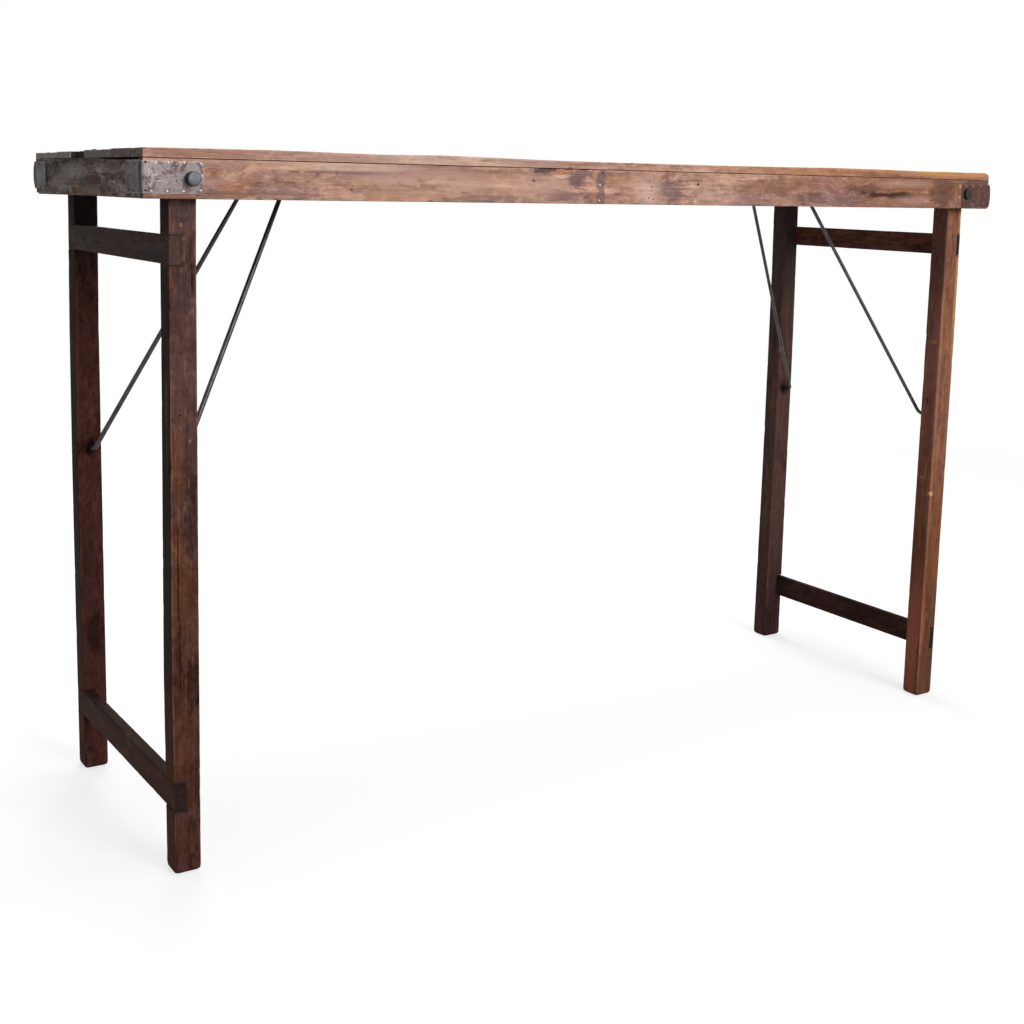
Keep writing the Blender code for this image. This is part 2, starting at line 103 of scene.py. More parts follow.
# Wood surfaces
SEAT = 0.0003
GRID_ALONG = 0.008
GRID_ACROSS = 0.0065
EDGE_LINES = (0.004, 0.009)
EDGE_ROUND = 0.0016
EDGE_REACH = 0.003
PLANK_EDGE_ROUND = 0.0013
LEG_EDGE_ROUND = 0.0026
STRETCHER_EDGE_ROUND = 0.0005
CUT_MARGIN = 0.003
SWELL = 0.00025
SWELL_PITCH = 34.0
NICK_PITCH = 38.0
NICK_FINE_PITCH = 120.0
NICK_START = 0.22
BITE_PITCH = 160.0
NICKS = 0.0014
PLANK_NICKS = 0.0010
LEG_NICKS = 0.0010
STRETCHER_NICKS = 0.0005
SEAM_DEPTH = 0.0022
FOOT_ROUND = 0.005
FOOT_LINES = (0.0012, 0.003, 0.005)
PLANK_END_ROUND = 0.0085
BROKEN_WIDTH = 0.076
BROKEN_DEPTH = 0.016
BROKEN_REACH = 0.034
SMOOTH_ANGLE = math.radians(38)
SHARP_ANGLE = math.radians(40)

# Steel
STRAP_THICKNESS = 0.002
STRAP_BEND = 0.003
STRAP_BULGE = 0.0022
STRAP_BULGE_REACH = 0.016
STRAP_CORNER = 0.006
STRAP_ROWS = 12
STRAP_STEP = 0.0015
STRAP_SHADE = 0.008
STRAP_DENT = 0.0003
STRAP_TUCK = 0.0004
STRAP_RIM = 0.0012
STUD_RADIUS = 0.0019
STUD_HEIGHT = 0.0010
STUD_SINK = 0.0002
STUD_HOLE_RADIUS = 0.0018
STUD_HOLE_HEIGHT = 0.0004
BOLT_HOLE_RADIUS = 0.0054
BOLT_SHANK = 0.005
BOLT_RIM = 0.002
BOLT_CHAMFER = 0.0004
CAD_EDGE_BEVEL = 0.0004
ROD_RADIUS = {"left": 0.0041, "right": 0.0035}
ROD_FOOT_RADIUS = 0.0035
ROD_BEND = 0.012
ROD_SIDES = 16
ROD_STEP = 0.02
ROD_TAPER = 0.02
ROD_UNEVEN = 0.03
STAY_TENON = 0.018
STAY_FOOT_INSET = 0.022
STAY_HEAD_HALF_WIDTH = 0.081
CATCH_THICKNESS = 0.0025
ROUND_SIDES = 32

# Nail and screw heads as (radius, height), and how they are spread
BOARD_NAIL = (0.0032, 0.0007)
BOARD_NAIL_SHARES = (0.24, 0.78)
BOARD_NAIL_STRAY = 0.004
RAIL_NAIL = (0.0019, 0.0009)
RAIL_HOLE_HEIGHT = 0.0004
FRAME_NAIL = (0.0028, 0.0008)
FRAME_NAIL_SHARES = (0.28, 0.72)
FRAME_NAIL_SPREAD = 0.010
CATCH_SCREW = (0.0035, 0.0014)
CATCH_SCREWS_Y = (-0.011, 0.011)
CATCH_SCREW_INSET = 0.010


def rgb(red, green, blue):
    """A colour written as screen values from 0 to 255, as linear light."""
    def linear(value):
        share = value / 255
        return share / 12.92 if share <= 0.04045 else ((share + 0.055) / 1.055) ** 2.4
    return (linear(red), linear(green), linear(blue))


def shade(colour, share):
    return tuple(share * channel for channel in colour)


def furthest(low, high):
    """How far a box reaches from the middle along an axis."""
    return max(abs(low), abs(high))


def nearest(low, high):
    return min(abs(low), abs(high))


# Shader graphs

WOOD_SPECULAR = 0.02
STRIP_SPECULAR = 0.05
STRIP_METALLIC = 0.22
IRON_SPECULAR = 0.08
PLAIN_END_SHADE = (0.1, 0.1, 0.1)
RUST = rgb(78, 50, 40)


class Graph:
    """A material's node tree around one Principled shader, and the colour mixed so far."""

    def __init__(self, name):
        self.material = bpy.data.materials.new(name)
        self.material.use_nodes = True
        self.tree = self.material.node_tree
        self.shader = self.tree.nodes["Principled BSDF"]
        self.spot = self.add("TexCoord", {}).outputs["Object"]
        self.colour = None

    def feed(self, socket, value):
        if isinstance(value, bpy.types.NodeSocket):
            self.tree.links.new(value, socket)
        elif socket.type == "RGBA" and len(value) == 3:
            socket.default_value = (*value, 1.0)
        else:
            socket.default_value = value

    def add(self, kind, inputs, **settings):
        node = self.tree.nodes.new("ShaderNode" + kind)
        for key, value in settings.items():
            setattr(node, key, value)
        for key, value in inputs.items():
            self.feed(node.inputs[key], value)
        return node

    def math(self, operation, a, b=0.0):
        return self.add("Math", {0: a, 1: b}, operation=operation).outputs[0]

    def times(self, a, b):
        return self.math("MULTIPLY", a, b)

    def swing(self, value, amount):
        """A noise value about zero, with the given size."""
        return self.times(self.math("SUBTRACT", value, 0.5), amount)

    def total(self, *terms):
        value = terms[0]
        for term in terms[1:]:
            value = self.math("ADD", value, term)
        return value

    def vector(self, operation, a, b=(0.0, 0.0, 0.0)):
        node = self.add("VectorMath", {0: a, 1: b}, operation=operation)
        return node.outputs["Value" if operation == "LENGTH" else "Vector"]

    def join(self, *values):
        return self.add("CombineXYZ", dict(enumerate(values))).outputs[0]

    def split(self, vector):
        return self.add("SeparateXYZ", {"Vector": vector}).outputs

    def reach(self, centre, shares):
        """Distance from a centre, with each axis weighed by its share."""
        offset = self.vector("SUBTRACT", self.spot, centre)
        return self.vector("LENGTH", self.vector("MULTIPLY", offset, shares))

    def reach_in(self, centre, radii):
        """Distance from a centre, counted in the radii of the mark there."""
        return self.reach(centre, tuple(1.0 / radius for radius in radii))

    def stretch(self, vector, scale, shift=(0.0, 0.0, 0.0), turn=(0.0, 0.0, 0.0)):
        inputs = {"Vector": vector, "Scale": scale, "Location": shift, "Rotation": turn}
        return self.add("Mapping", inputs).outputs[0]

    def noise(self, vector, detail=4.0, roughness=0.55, distortion=0.0):
        inputs = {"Vector": vector, "Scale": 1.0, "Detail": detail}
        inputs.update({"Roughness": roughness, "Distortion": distortion})
        return self.add("TexNoise", inputs).outputs["Fac"]

    def cloud(self, size, shift, *settings):
        """Noise of the same size every way."""
        return self.noise(self.stretch(self.spot, (size,) * 3, shift), *settings)

    def band(self, value, low, high, top=1.0):
        """A smooth step from 0 at low to top at high."""
        inputs = {"Value": value, "From Min": low, "From Max": high, "To Max": top}
        return self.add("MapRange", inputs, interpolation_type="SMOOTHSTEP").outputs[0]

    def ramp(self, value, stops):
        node = self.add("ValToRGB", {"Fac": value})
        points = node.color_ramp.elements
        while len(points) < len(stops):
            points.new(0.5)
        for point, (at, colour) in zip(points, stops):
            point.position = at
            point.color = (*colour, 1.0)
        return node.outputs["Color"]

    def tinge(self, colour, value, low, high, dark, light):
        """Multiplies a colour by a brightness that runs from dark to light with a value."""
        inputs = {"Value": value, "From Min": low, "From Max": high, "To Min": dark, "To Max": light}
        level = self.add("MapRange", inputs).outputs[0]
        return self.add("VectorMath", {0: colour, "Scale": level}, operation="SCALE").outputs["Vector"]

    def vary(self, value, low, high, dark, light):
        """Tinges the colour so far."""
        self.colour = self.tinge(self.colour, value, low, high, dark, light)

    def cover(self, share, tone):
        """Lays a tone over the colour so far."""
        inputs = {0: share, 6: self.colour, 7: tone}
        self.colour = self.add("Mix", inputs, data_type="RGBA").outputs[2]

    def bump(self, height, strength, distance):
        inputs = {"Height": height, "Strength": strength, "Distance": distance}
        return self.add("Bump", inputs).outputs["Normal"]

    def wear_and_shade(self):
        """The three shares, of rubbed edges, end parts and painted shade, that the mesh keeps for its
        material.
        """
        node = self.add("Attribute", {}, attribute_name="wear_and_shade")
        return self.split(node.outputs["Vector"])

    def close(self, **inputs):
        for key, value in inputs.items():
            self.feed(self.shader.inputs[key.replace("_", " ")], value)
        return self.material


# Noises of wood: changes a metre along and across the grain, shift, then detail, roughness and distortion
WOOD_NOISES = {
    "fine": (15.0, 270.0, 3.1, 4.0, 0.68, 0.2),
    "mottle": (42.0, 80.0, 8.3, 6.0, 0.72, 0.4),
    "patch": (5.0, 15.0, 1.9, 5.0, 0.62, 0.7),
    "smudge": (9.0, 22.0, 6.1, 5.0, 0.66, 0.5),
    "pores": (60.0, 900.0, 5.7, 2.0, 0.5, 0.0),
    "saw": (380.0, 12.0, 7.7, 2.0, 0.5, 0.0),
    "hue": (6.0, 28.0, 12.7, 5.0, 0.6, 0.6),
    "crumb": (130.0, 330.0, 9.9, 5.0, 0.7, 0.0),
    "line": (1.6, 26.0, 11.0, 3.0, 0.5, 0.9),
}
BROAD_NOISE = (0.0, 6.0, 0.62, 0.8)


class Grain(Graph):
    """A wood's node tree, with noises that run along its grain and bend round its knots."""

    def __init__(self, name, grain, seed, knots, figure):
        super().__init__(name)
        self.seed = seed
        self.along = AXES.index(grain)
        self.flow, self.hearts, self.rings = self.spot, [], []
        for knot in knots:
            self.add_knot(*knot)
        rows = {"broad": (*figure, *BROAD_NOISE), **WOOD_NOISES}
        noises = {key: self.noise(self.grained(*row[:3]), *row[3:]) for key, row in rows.items()}
        self.noises = SimpleNamespace(**noises)

    def grained(self, along_scale, across_scale, shift, turn=(0.0, 0.0, 0.0)):
        """Coordinates stretched along the grain."""
        scale = [across_scale] * 3
        scale[self.along] = along_scale
        start = (self.seed + shift, 0.7 * self.seed - shift, 1.3 * self.seed)
        return self.stretch(self.flow, tuple(scale), start, turn)

    def add_knot(self, centre, radius, across_name):
        """Bends the grain round a knot, and keeps the knot's dark heart and its rings."""
        across = AXES.index(across_name)
        shares = [0.0, 0.0, 0.0]
        shares[self.along], shares[across] = 0.55, 1.0
        reach = self.reach(centre, shares)
        push = [0.0, 0.0, 0.0]
        push[across] = self.times(reach, self.band(reach, 3.2 * radius, 0.4 * radius))
        self.flow = self.vector("ADD", self.flow, self.join(*push))
        self.hearts.append(self.band(reach, 0.75 * radius, 0.25 * radius))
        turns = self.join(self.times(reach, 420.0), self.seed)
        turns = self.vector("ADD", turns, self.stretch(self.spot, (70.0,) * 3))
        ring = self.band(self.noise(turns, 1.0), 0.52, 0.40)
        self.rings.append(self.times(ring, self.band(reach, 1.5 * radius, 0.8 * radius)))


def lay_ground(g, tones, fades, weathering):
    """The wood's own colours: light and dark figure, warm and pink drifts, fades and grey weather."""
    n = g.noises
    tone = g.total(g.times(n.broad, 0.62), g.times(n.mottle, 0.38))
    g.colour = g.ramp(tone, [(0.37, tones["dark"]), (0.50, tones["mid"]), (0.63, tones["light"])])
    g.cover(g.band(n.hue, 0.53, 0.66, 0.7), tones["warm"])
    g.cover(g.band(n.hue, 0.47, 0.34, 0.7), tones["pink"])
    for axis, start, stop, fade_tone, share in fades:
        drift = g.total(g.split(g.spot)[AXES.index(axis)], g.swing(n.patch, 0.9 * (stop - start)))
        g.cover(g.band(drift, start, stop, share), fade_tone)
    worst = 0.60 - 0.16 * weathering
    g.cover(g.band(g.total(n.patch, g.swing(n.mottle, 0.5)), worst, 0.70, 0.75), tones["grey"])


def lay_stains(g, tones, stains, contrast):
    """Ragged stains, pale and dark smudges, and the brightness of the fibres."""
    n = g.noises
    ragged = g.total(g.swing(n.mottle, 2.2), g.swing(n.fine, 1.8), g.swing(n.crumb, 1.2))
    for centre, radii, tone, share in stains:
        reach = g.reach_in(centre, radii)
        g.cover(g.band(g.total(reach, ragged), 1.4, 0.45, share), tone)
    g.cover(g.band(g.total(n.smudge, g.swing(n.fine, 0.35)), 0.60, 0.72, 0.45), tones["light"])
    g.vary(n.fine, 0.33, 0.67, 0.82, 1.18)
    g.vary(n.mottle, 0.30, 0.70, 1.0 - 0.18 * contrast, 1.0 + 0.20 * contrast)
    g.vary(n.crumb, 0.30, 0.70, 1.0 - 0.10 * contrast, 1.0 + 0.10 * contrast)
    g.vary(n.saw, 0.30, 0.70, 0.98, 1.02)
    g.cover(g.band(n.smudge, 0.42, 0.30, 0.45), tones["dark"])


def lay_damage(g, tones, cracks):
    """Pores, cracks, dents, scratches, gouges and knots. Gives the surface's height."""
    n = g.noises
    dark = tones["dark"]
    pit = g.band(n.pores, 0.35, 0.25, 0.6)
    g.cover(pit, dark)
    line = g.math("ABSOLUTE", g.math("SUBTRACT", n.line, 0.5))
    crack = g.times(g.band(line, 0.010, 0.003, cracks), g.band(n.patch, 0.49, 0.58))
    g.cover(crack, shade(dark, 0.3))
    cells = g.add("TexVoronoi", {"Vector": g.grained(22.0, 34.0, 2.3), "Scale": 1.0}).outputs
    chosen = g.band(g.split(cells["Color"])[0], 0.86, 0.88)
    dent = g.times(g.band(cells["Distance"], 0.12, 0.05), chosen)
    g.cover(g.times(dent, 0.75), shade(dark, 0.5))
    rub = g.noise(g.grained(900.0, 30.0, 4.4, (0.5, 0.7, 0.6)), 1.0, 0.5)
    g.cover(g.times(g.band(rub, 0.71, 0.76, 0.25), g.band(n.smudge, 0.48, 0.58)), tones["worn"])
    gouge = g.noise(g.grained(30.0, 620.0, 14.2, (0.25, 0.35, 0.3)), 1.0, 0.5)
    g.cover(g.times(g.band(gouge, 0.30, 0.25, 0.5), g.band(n.hue, 0.44, 0.54)), shade(dark, 0.45))
    for heart in g.hearts:
        g.cover(g.times(heart, 0.35), shade(dark, 0.7))
    for ring in g.rings:
        g.cover(g.times(ring, 0.38), dark)
    height = g.total(g.times(n.broad, 0.4), g.times(n.fine, 0.5), g.times(n.mottle, 0.5), g.times(pit, -0.4))
    return g.math("SUBTRACT", height, g.times(g.math("MAXIMUM", crack, dent), 1.3))


def lay_wear_and_shade(g, tones, edge_wear, end_tones, painted_shade, chips_and_shade):
    """Rubbed edges, end grain, painted shade, crisp chips and painted lines of seam shade."""
    n = g.noises
    edge, end, shade_share = g.wear_and_shade()
    scuff = g.total(edge, g.swing(n.smudge, 1.6), g.swing(n.mottle, 0.8))
    g.cover(g.band(scuff, 0.75, 1.0, edge_wear), tones["worn"])
    sawn = g.cloud(170.0, (g.seed, 0.0, g.seed), 4.0, 0.65)
    end_dark, end_light = end_tones or (tones["dark"], tones["grey"])
    g.cover(g.times(end, 0.9), g.ramp(sawn, [(0.32, end_dark), (0.66, end_light)]))
    # Painted shade: a blotchy dark tone laid where the mesh's shade share is high
    if painted_shade:
        share = g.band(g.total(shade_share, g.swing(n.mottle, 0.7), g.swing(n.smudge, 0.5)), 0.35, 0.75)
        painted_shade = g.tinge(g.tinge(painted_shade, n.smudge, 0.34, 0.66, 0.5, 1.6), n.mottle, 0.3, 0.7, 0.5, 1.5)
        g.cover(share, painted_shade)
    for centre, radii, tone, share in chips_and_shade:
        reach = g.reach_in(centre, radii)
        crumbling = 1.2 if max(radii) > 12 * min(radii) else 3.2
        broken = g.total(reach, g.swing(n.crumb, crumbling), g.swing(n.mottle, 1.0))
        g.cover(g.band(broken, 1.15, 0.8, share), g.tinge(tone, n.crumb, 0.3, 0.7, 0.8, 1.2))


def wood(name, grain, tones, seed, knots=(), stains=(), chips_and_shade=(), fades=(), weathering=0.5, edge_wear=0.35,
         painted_shade=None, end_tones=None, cracks=0.4, figure=(3.6, 42.0), contrast=1.0):
    """Old timber: grain along one axis, knots that bend it, grey weather, stains, cracks, worn edges and
    painted shade.

    tones has dark, mid, light, warm, pink, grey and worn. A knot is (centre, radius, axis across the grain),
    a stain, a crisp chip or a painted line of seam shade (centre, radii, colour, share) and a fade (axis,
    start, stop, colour, share).
    figure is how quickly the broad grain changes along and across, and contrast how mottled it is.
    """
    g = Grain(name, grain, seed, knots, figure)
    lay_ground(g, tones, fades, weathering)
    lay_stains(g, tones, stains, contrast)
    height = lay_damage(g, tones, cracks)
    lay_wear_and_shade(g, tones, edge_wear, end_tones, painted_shade, chips_and_shade)
    return g.close(
        Base_Color=g.colour,
        Roughness=g.math("ADD", g.times(g.noises.mottle, 0.30), 0.52),
        Specular_IOR_Level=WOOD_SPECULAR,
        Normal=g.bump(height, 0.55, 1.3 * MM),
    )


def worn_steel(name, seed, steel, patina, cover_share, scratches, end_shade=PLAIN_END_SHADE, marks=()):
    """Strip steel: dull metal under patches of patina, dark freckles and bright scratches, with painted
    shade on its end part and along its bend.

    A mark is the centre and radii of a spot that is scraped bright in specks.
    """
    g = Graph(name)
    edge, at_end, bend_shade = g.wear_and_shade()
    broad = g.cloud(38.0, (seed, seed, 0.0), 6.0, 0.66, 0.6)
    cloud = g.cloud(120.0, (seed, 1.0, seed), 4.0, 0.62, 0.3)
    fine = g.cloud(520.0, (0.0, seed, seed), 3.0, 0.6)
    level = 0.66 - 0.32 * cover_share
    cover = g.band(g.total(broad, g.swing(cloud, 0.5)), level - 0.05, level + 0.05)
    g.colour = steel
    g.cover(cover, patina)
    # Painted shade: the end part round the corner is darkened
    at_end = g.band(at_end, 0.3, 0.7)
    g.cover(g.times(at_end, 0.85), end_shade)
    g.vary(cloud, 0.30, 0.70, 0.78, 1.20)
    g.vary(fine, 0.30, 0.70, 0.86, 1.12)
    g.cover(g.band(g.total(fine, g.swing(broad, 0.4)), 0.36, 0.28, 0.7), shade(patina, 0.45))
    line = g.noise(g.stretch(g.spot, (7.0, 7.0, 640.0), (seed, 4.0, seed)), 1.0, 0.5, 0.1)
    slant = g.noise(g.stretch(g.spot, (520.0, 520.0, 40.0), (2.0, seed, seed), (0.0, 0.6, 0.0)), 1.0, 0.5)
    scratch = g.math("MAXIMUM", g.band(line, 0.70, 0.76), g.band(slant, 0.74, 0.79))
    scratch = g.times(scratch, g.band(cloud, 0.42, 0.58))
    flake = g.times(g.band(fine, 0.60, 0.68), g.band(g.total(broad, g.swing(cloud, 0.8)), 0.53, 0.62))
    bright = g.times(g.math("MAXIMUM", scratch, flake), scratches)
    bright = g.times(bright, g.math("SUBTRACT", 1.0, g.times(at_end, 0.8)))
    # Painted shade in a band along the bend into the end part
    g.cover(g.times(bend_shade, 0.9), shade(end_shade, 0.15))
    for centre, radii in marks:
        specks = g.total(g.reach_in(centre, radii), g.swing(fine, 6.0))
        bright = g.math("MAXIMUM", bright, g.band(specks, 0.4, -0.2, 0.85))
    g.cover(bright, rgb(228, 222, 218))
    g.cover(g.band(edge, 0.5, 1.0, 0.35 * scratches), rgb(206, 198, 194))
    height = g.total(g.times(cover, 0.4), g.times(fine, 0.4), broad)
    return g.close(
        Base_Color=g.colour,
        Metallic=STRIP_METALLIC,
        Roughness=g.math("ADD", g.times(cover, 0.2), 0.46),
        Specular_IOR_Level=STRIP_SPECULAR,
        Normal=g.bump(height, 0.4, 0.8 * MM),
    )


def dark_steel(name, seed, tone, sheen, metal=0.5):
    """Blackened steel with paler rubbed streaks, a little rust, and painted shade on its flanks."""
    g = Graph(name)
    _, flank_shade, _ = g.wear_and_shade()
    broad = g.cloud(60.0, (seed, 0.0, seed), 4.0, 0.62)
    fine = g.cloud(640.0, (seed, 2.0, 0.0), 3.0, 0.6)
    g.colour = g.ramp(broad, [(0.3, shade(tone, 0.6)), (0.52, tone), (0.72, shade(tone, 1.6))])
    g.vary(fine, 0.3, 0.7, 0.8, 1.2)
    g.cover(g.band(g.total(broad, g.swing(fine, 0.5)), 0.60, 0.70, 0.45), RUST)
    # Painted shade on the bolt heads' flanks and round the rims of their faces
    g.cover(g.times(flank_shade, 0.85), rgb(16, 15, 16))
    return g.close(
        Base_Color=g.colour,
        Metallic=metal,
        Roughness=g.math("ADD", g.times(fine, 0.25), sheen),
        Specular_IOR_Level=IRON_SPECULAR,
        Normal=g.bump(g.total(broad, g.times(fine, 0.5)), 0.25, 0.5 * MM),
    )


# Mesh building


def finish_piece(name, bm, material, body, node=None):
    """Makes a bmesh a smooth-shaded piece that rides on a body and may stand for a CAD node."""
    mesh = bpy.data.meshes.new(name)
    bm.to_mesh(mesh)
    bm.free()
    mesh.shade_smooth()
    mesh.set_sharp_from_angle(angle=SMOOTH_ANGLE)
    mesh.materials.append(material)
    piece = bpy.data.objects.new(name, mesh)
    bpy.context.scene.collection.objects.link(piece)
    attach(piece, body)
    if node:
        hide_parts(node)
    return piece


def grid_lines(low, high, step, features):
    """Even grid lines with closer ones beside both ends, and one at each feature."""
    keep = [low, high] + [f for f in features if low + SEAT < f < high - SEAT]
    count = max(1, round((high - low) / step))
    close = [low + e for e in EDGE_LINES] + [high - e for e in EDGE_LINES]
    even = [low + (high - low) * i / count for i in range(1, count)]
    for line in close + even:
        if all(abs(line - other) > 0.6 * min(EDGE_LINES) for other in keep):
            keep.append(line)
    return sorted(keep)


def lattice(axes, is_solid):
    """The skin of the solid cells of a grid, as quads with shared corners."""
    bm = bmesh.new()
    corners = {}
    middles = [[(a + b) / 2 for a, b in zip(lines, lines[1:])] for lines in axes]
    solid = {
        (i, j, k)
        for i, x in enumerate(middles[0])
        for j, y in enumerate(middles[1])
        for k, z in enumerate(middles[2])
        if is_solid((x, y, z))
    }

    def corner(index):
        if index not in corners:
            corners[index] = bm.verts.new([axes[n][index[n]] for n in range(3)])
        return corners[index]

    for cell in sorted(solid):
        for axis in range(3):
            for step in (-1, 1):
                beside = list(cell)
                beside[axis] += step
                if tuple(beside) in solid:
                    continue
                u, w = [n for n in range(3) if n != axis]
                loop = []
                for du, dw in ((0, 0), (1, 0), (1, 1), (0, 1)):
                    index = list(cell)
                    index[axis] += (step + 1) // 2
                    index[u] += du
                    index[w] += dw
                    loop.append(corner(tuple(index)))
                bm.faces.new(loop)
    bmesh.ops.recalc_face_normals(bm, faces=bm.faces)
    return bm


def soften(bm, width, segments, keep):
    """Rounds the sharp outward edges that keep() accepts."""
    edges = [e for e in bm.edges if e.is_convex and e.calc_face_angle(0.0) > SHARP_ANGLE and keep(e)]
    bmesh.ops.bevel(
        bm, geom=edges, offset=width, offset_type="OFFSET", segments=segments,
        profile=0.5, affect="EDGES", clamp_overlap=True,
    )


def inside(point, low, high, margin):
    return all(low[i] - margin < point[i] < high[i] + margin for i in range(3))


def read_off(points, at):
    """Values read off a line of (place, value, ...) points, straight between them."""
    if at <= points[0][0]:
        return points[0][1:]
    for first, second in zip(points, points[1:]):
        if at <= second[0]:
            share = (at - first[0]) / (second[0] - first[0])
            return [a + (b - a) * share for a, b in zip(first[1:], second[1:])]
    return points[-1][1:]


def weather_mesh(bm, low, high, grain, seed, nicks, bites, shade_share, seated, ends):
    """Wears a block in: slight unevenness, nicked edges, bites, and shares of rubbed edges, end grain and
    painted shade for its material.
    """
    bm.normal_update()
    layer = bm.verts.layers.float_vector.new("wear_and_shade")
    along = AXES.index(grain)
    moves = []
    for vert in bm.verts:
        point, normal = vert.co, vert.normal
        depths = sorted(min(point[i] - low[i], high[i] - point[i]) for i in range(3))
        near = math.exp(-max(depths[1], 0.0) / EDGE_REACH)
        sample = point + Vector((seed, seed * 0.37, seed * 0.71))
        slow = sample.copy()
        slow[along] *= 0.25
        swell = 0.5 + 0.5 * noise.noise(slow * SWELL_PITCH)
        rough = noise.noise(sample * NICK_PITCH) + 0.4 * noise.noise(sample * NICK_FINE_PITCH)
        nick = max(0.0, rough - NICK_START)
        move = Vector()
        if not seated(point):
            move = normal * -(SWELL * swell + nicks * near * (0.06 + 1.4 * nick))
        for centre, radius, push in bites:
            reach = (point - Vector(centre)).length / radius
            if reach < 1.0:
                ragged = 1.0 + 0.5 * noise.noise(sample * BITE_PITCH)
                move += Vector(push) * (1.0 - reach * reach) * ragged
        moves.append(move)
        end = 0.0
        if abs(normal[along]) > 0.5:
            end = ends[0] if normal[along] < 0.0 else ends[1]
        vert[layer] = (near, end, shade_share(point, normal))
    for vert, move in zip(bm.verts, moves):
        vert.co += move


def carve(piece, cutters):
    """Cuts closed bmeshes out of a finished piece."""
    for bm in cutters:
        mesh = bpy.data.meshes.new("bore")
        bm.to_mesh(mesh)
        bm.free()
        tool = bpy.data.objects.new("bore", mesh)
        bpy.context.scene.collection.objects.link(tool)
        modifier = piece.modifiers.new("bore", "BOOLEAN")
        modifier.object = tool
        modifier.solver = "EXACT"
        bpy.context.view_layer.update()
        evaluated = piece.evaluated_get(bpy.context.evaluated_depsgraph_get())
        carved = bpy.data.meshes.new_from_object(evaluated)
        piece.modifiers.clear()
        piece.data = carved
        bpy.data.objects.remove(tool)


def turned(profile, place, axis):
    """A solid of revolution from (radius, along) pairs, its axis turned to the given direction."""
    bm = bmesh.new()
    rings = []
    for radius, along in profile:
        if radius == 0.0:
            rings.append([bm.verts.new((0.0, 0.0, along))])
            continue
        angles = [2 * math.pi * i / ROUND_SIDES for i in range(ROUND_SIDES)]
        rings.append([bm.verts.new((radius * math.cos(a), radius * math.sin(a), along)) for a in angles])
    for first, second in zip(rings, rings[1:]):
        for i in range(ROUND_SIDES):
            j = (i + 1) % ROUND_SIDES
            loop = [ring[n % len(ring)] for ring, n in ((first, i), (first, j), (second, j), (second, i))]
            bm.faces.new(list(dict.fromkeys(loop)))
    turn = Vector(axis).to_track_quat("Z", "Y").to_matrix().to_4x4()
    bmesh.ops.transform(bm, matrix=Matrix.Translation(place) @ turn, verts=bm.verts)
    bmesh.ops.recalc_face_normals(bm, faces=bm.faces)
    return bm


def gather(parts):
    """Several bmeshes as one."""
    whole = bmesh.new()
    for part in parts:
        mesh = bpy.data.meshes.new("part")
        part.to_mesh(mesh)
        part.free()
        whole.from_mesh(mesh)
        bpy.data.meshes.remove(mesh)
    return whole


def no_shade(point, normal):
    return 0.0


def every_edge(edge):
    return True


def nowhere(point):
    return False


def timber(node, body, material, grain, seed, cuts=(), nicks=NICKS, bites=(), shade_share=no_shade,
           edge_round=EDGE_ROUND, rounded=every_edge, seated=nowhere, shapers=(), features=((), (), ()),
           ends=(1.0, 1.0)):
    """A worn block of timber in the place of a CAD node, cut where its neighbours are let into it.

    ends is how much of the end grain's own tones the low and the high end show.
    """
    low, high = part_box(node)
    boxes = [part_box(other) for other in cuts]
    axes = []
    for i in range(3):
        bounds = [value for lo, hi in boxes for value in (lo[i] - SEAT, hi[i] + SEAT)]
        step = GRID_ALONG if AXES[i] == grain else GRID_ACROSS
        axes.append(grid_lines(low[i], high[i], step, bounds + list(features[i])))
    bm = lattice(axes, lambda point: not any(inside(point, lo, hi, SEAT) for lo, hi in boxes))

    def away_from_cuts(edge):
        middle = (edge.verts[0].co + edge.verts[1].co) / 2
        return not any(inside(middle, lo, hi, 2 * SEAT) for lo, hi in boxes)

    def at_seat(point):
        return seated(point) or any(inside(point, lo, hi, CUT_MARGIN) for lo, hi in boxes)

    for shaper in shapers:
        shaper(bm)
    soften(bm, edge_round, 2, lambda edge: away_from_cuts(edge) and rounded(edge))
    weather_mesh(bm, low, high, grain, seed, nicks, bites, shade_share, at_seat, ends)
    return finish_piece("worn_" + node, bm, material, body, node)


# Tones of the woods, as screen colours under plain light


def palette(**tones):
    return {name: rgb(*tone) for name, tone in tones.items()}


RAIL_TONES = palette(
    dark=(126, 88, 74), mid=(187, 145, 126), light=(216, 172, 147),
    warm=(190, 143, 108), pink=(174, 131, 124), grey=(150, 120, 116), worn=(214, 172, 144),
)
END_TONES = palette(
    dark=(46, 37, 34), mid=(136, 123, 118), light=(206, 194, 188),
    warm=(130, 106, 92), pink=(116, 102, 102), grey=(128, 120, 120), worn=(170, 156, 148),
)
BOARD_TONES = palette(
    dark=(130, 90, 74), mid=(188, 146, 127), light=(218, 176, 150),
    warm=(202, 146, 106), pink=(178, 134, 124), grey=(158, 126, 118), worn=(218, 174, 144),
)
LEG_TONES = {
    "left_front": palette(
        dark=(42, 26, 23), mid=(87, 61, 53), light=(121, 88, 75),
        warm=(112, 66, 43), pink=(80, 53, 52), grey=(74, 56, 56), worn=(150, 102, 76),
    ),
    "left_back": palette(
        dark=(46, 26, 23), mid=(70, 40, 35), light=(88, 53, 45),
        warm=(77, 42, 32), pink=(69, 38, 36), grey=(59, 38, 36), worn=(116, 70, 52),
    ),
    "right_front": palette(
        dark=(92, 56, 46), mid=(132, 88, 70), light=(156, 108, 82),
        warm=(150, 96, 62), pink=(122, 78, 67), grey=(112, 76, 64), worn=(190, 136, 88),
    ),
    "right_back": palette(
        dark=(54, 40, 37), mid=(84, 62, 58), light=(106, 78, 70),
        warm=(95, 65, 55), pink=(82, 60, 58), grey=(74, 60, 58), worn=(130, 92, 74),
    ),
}
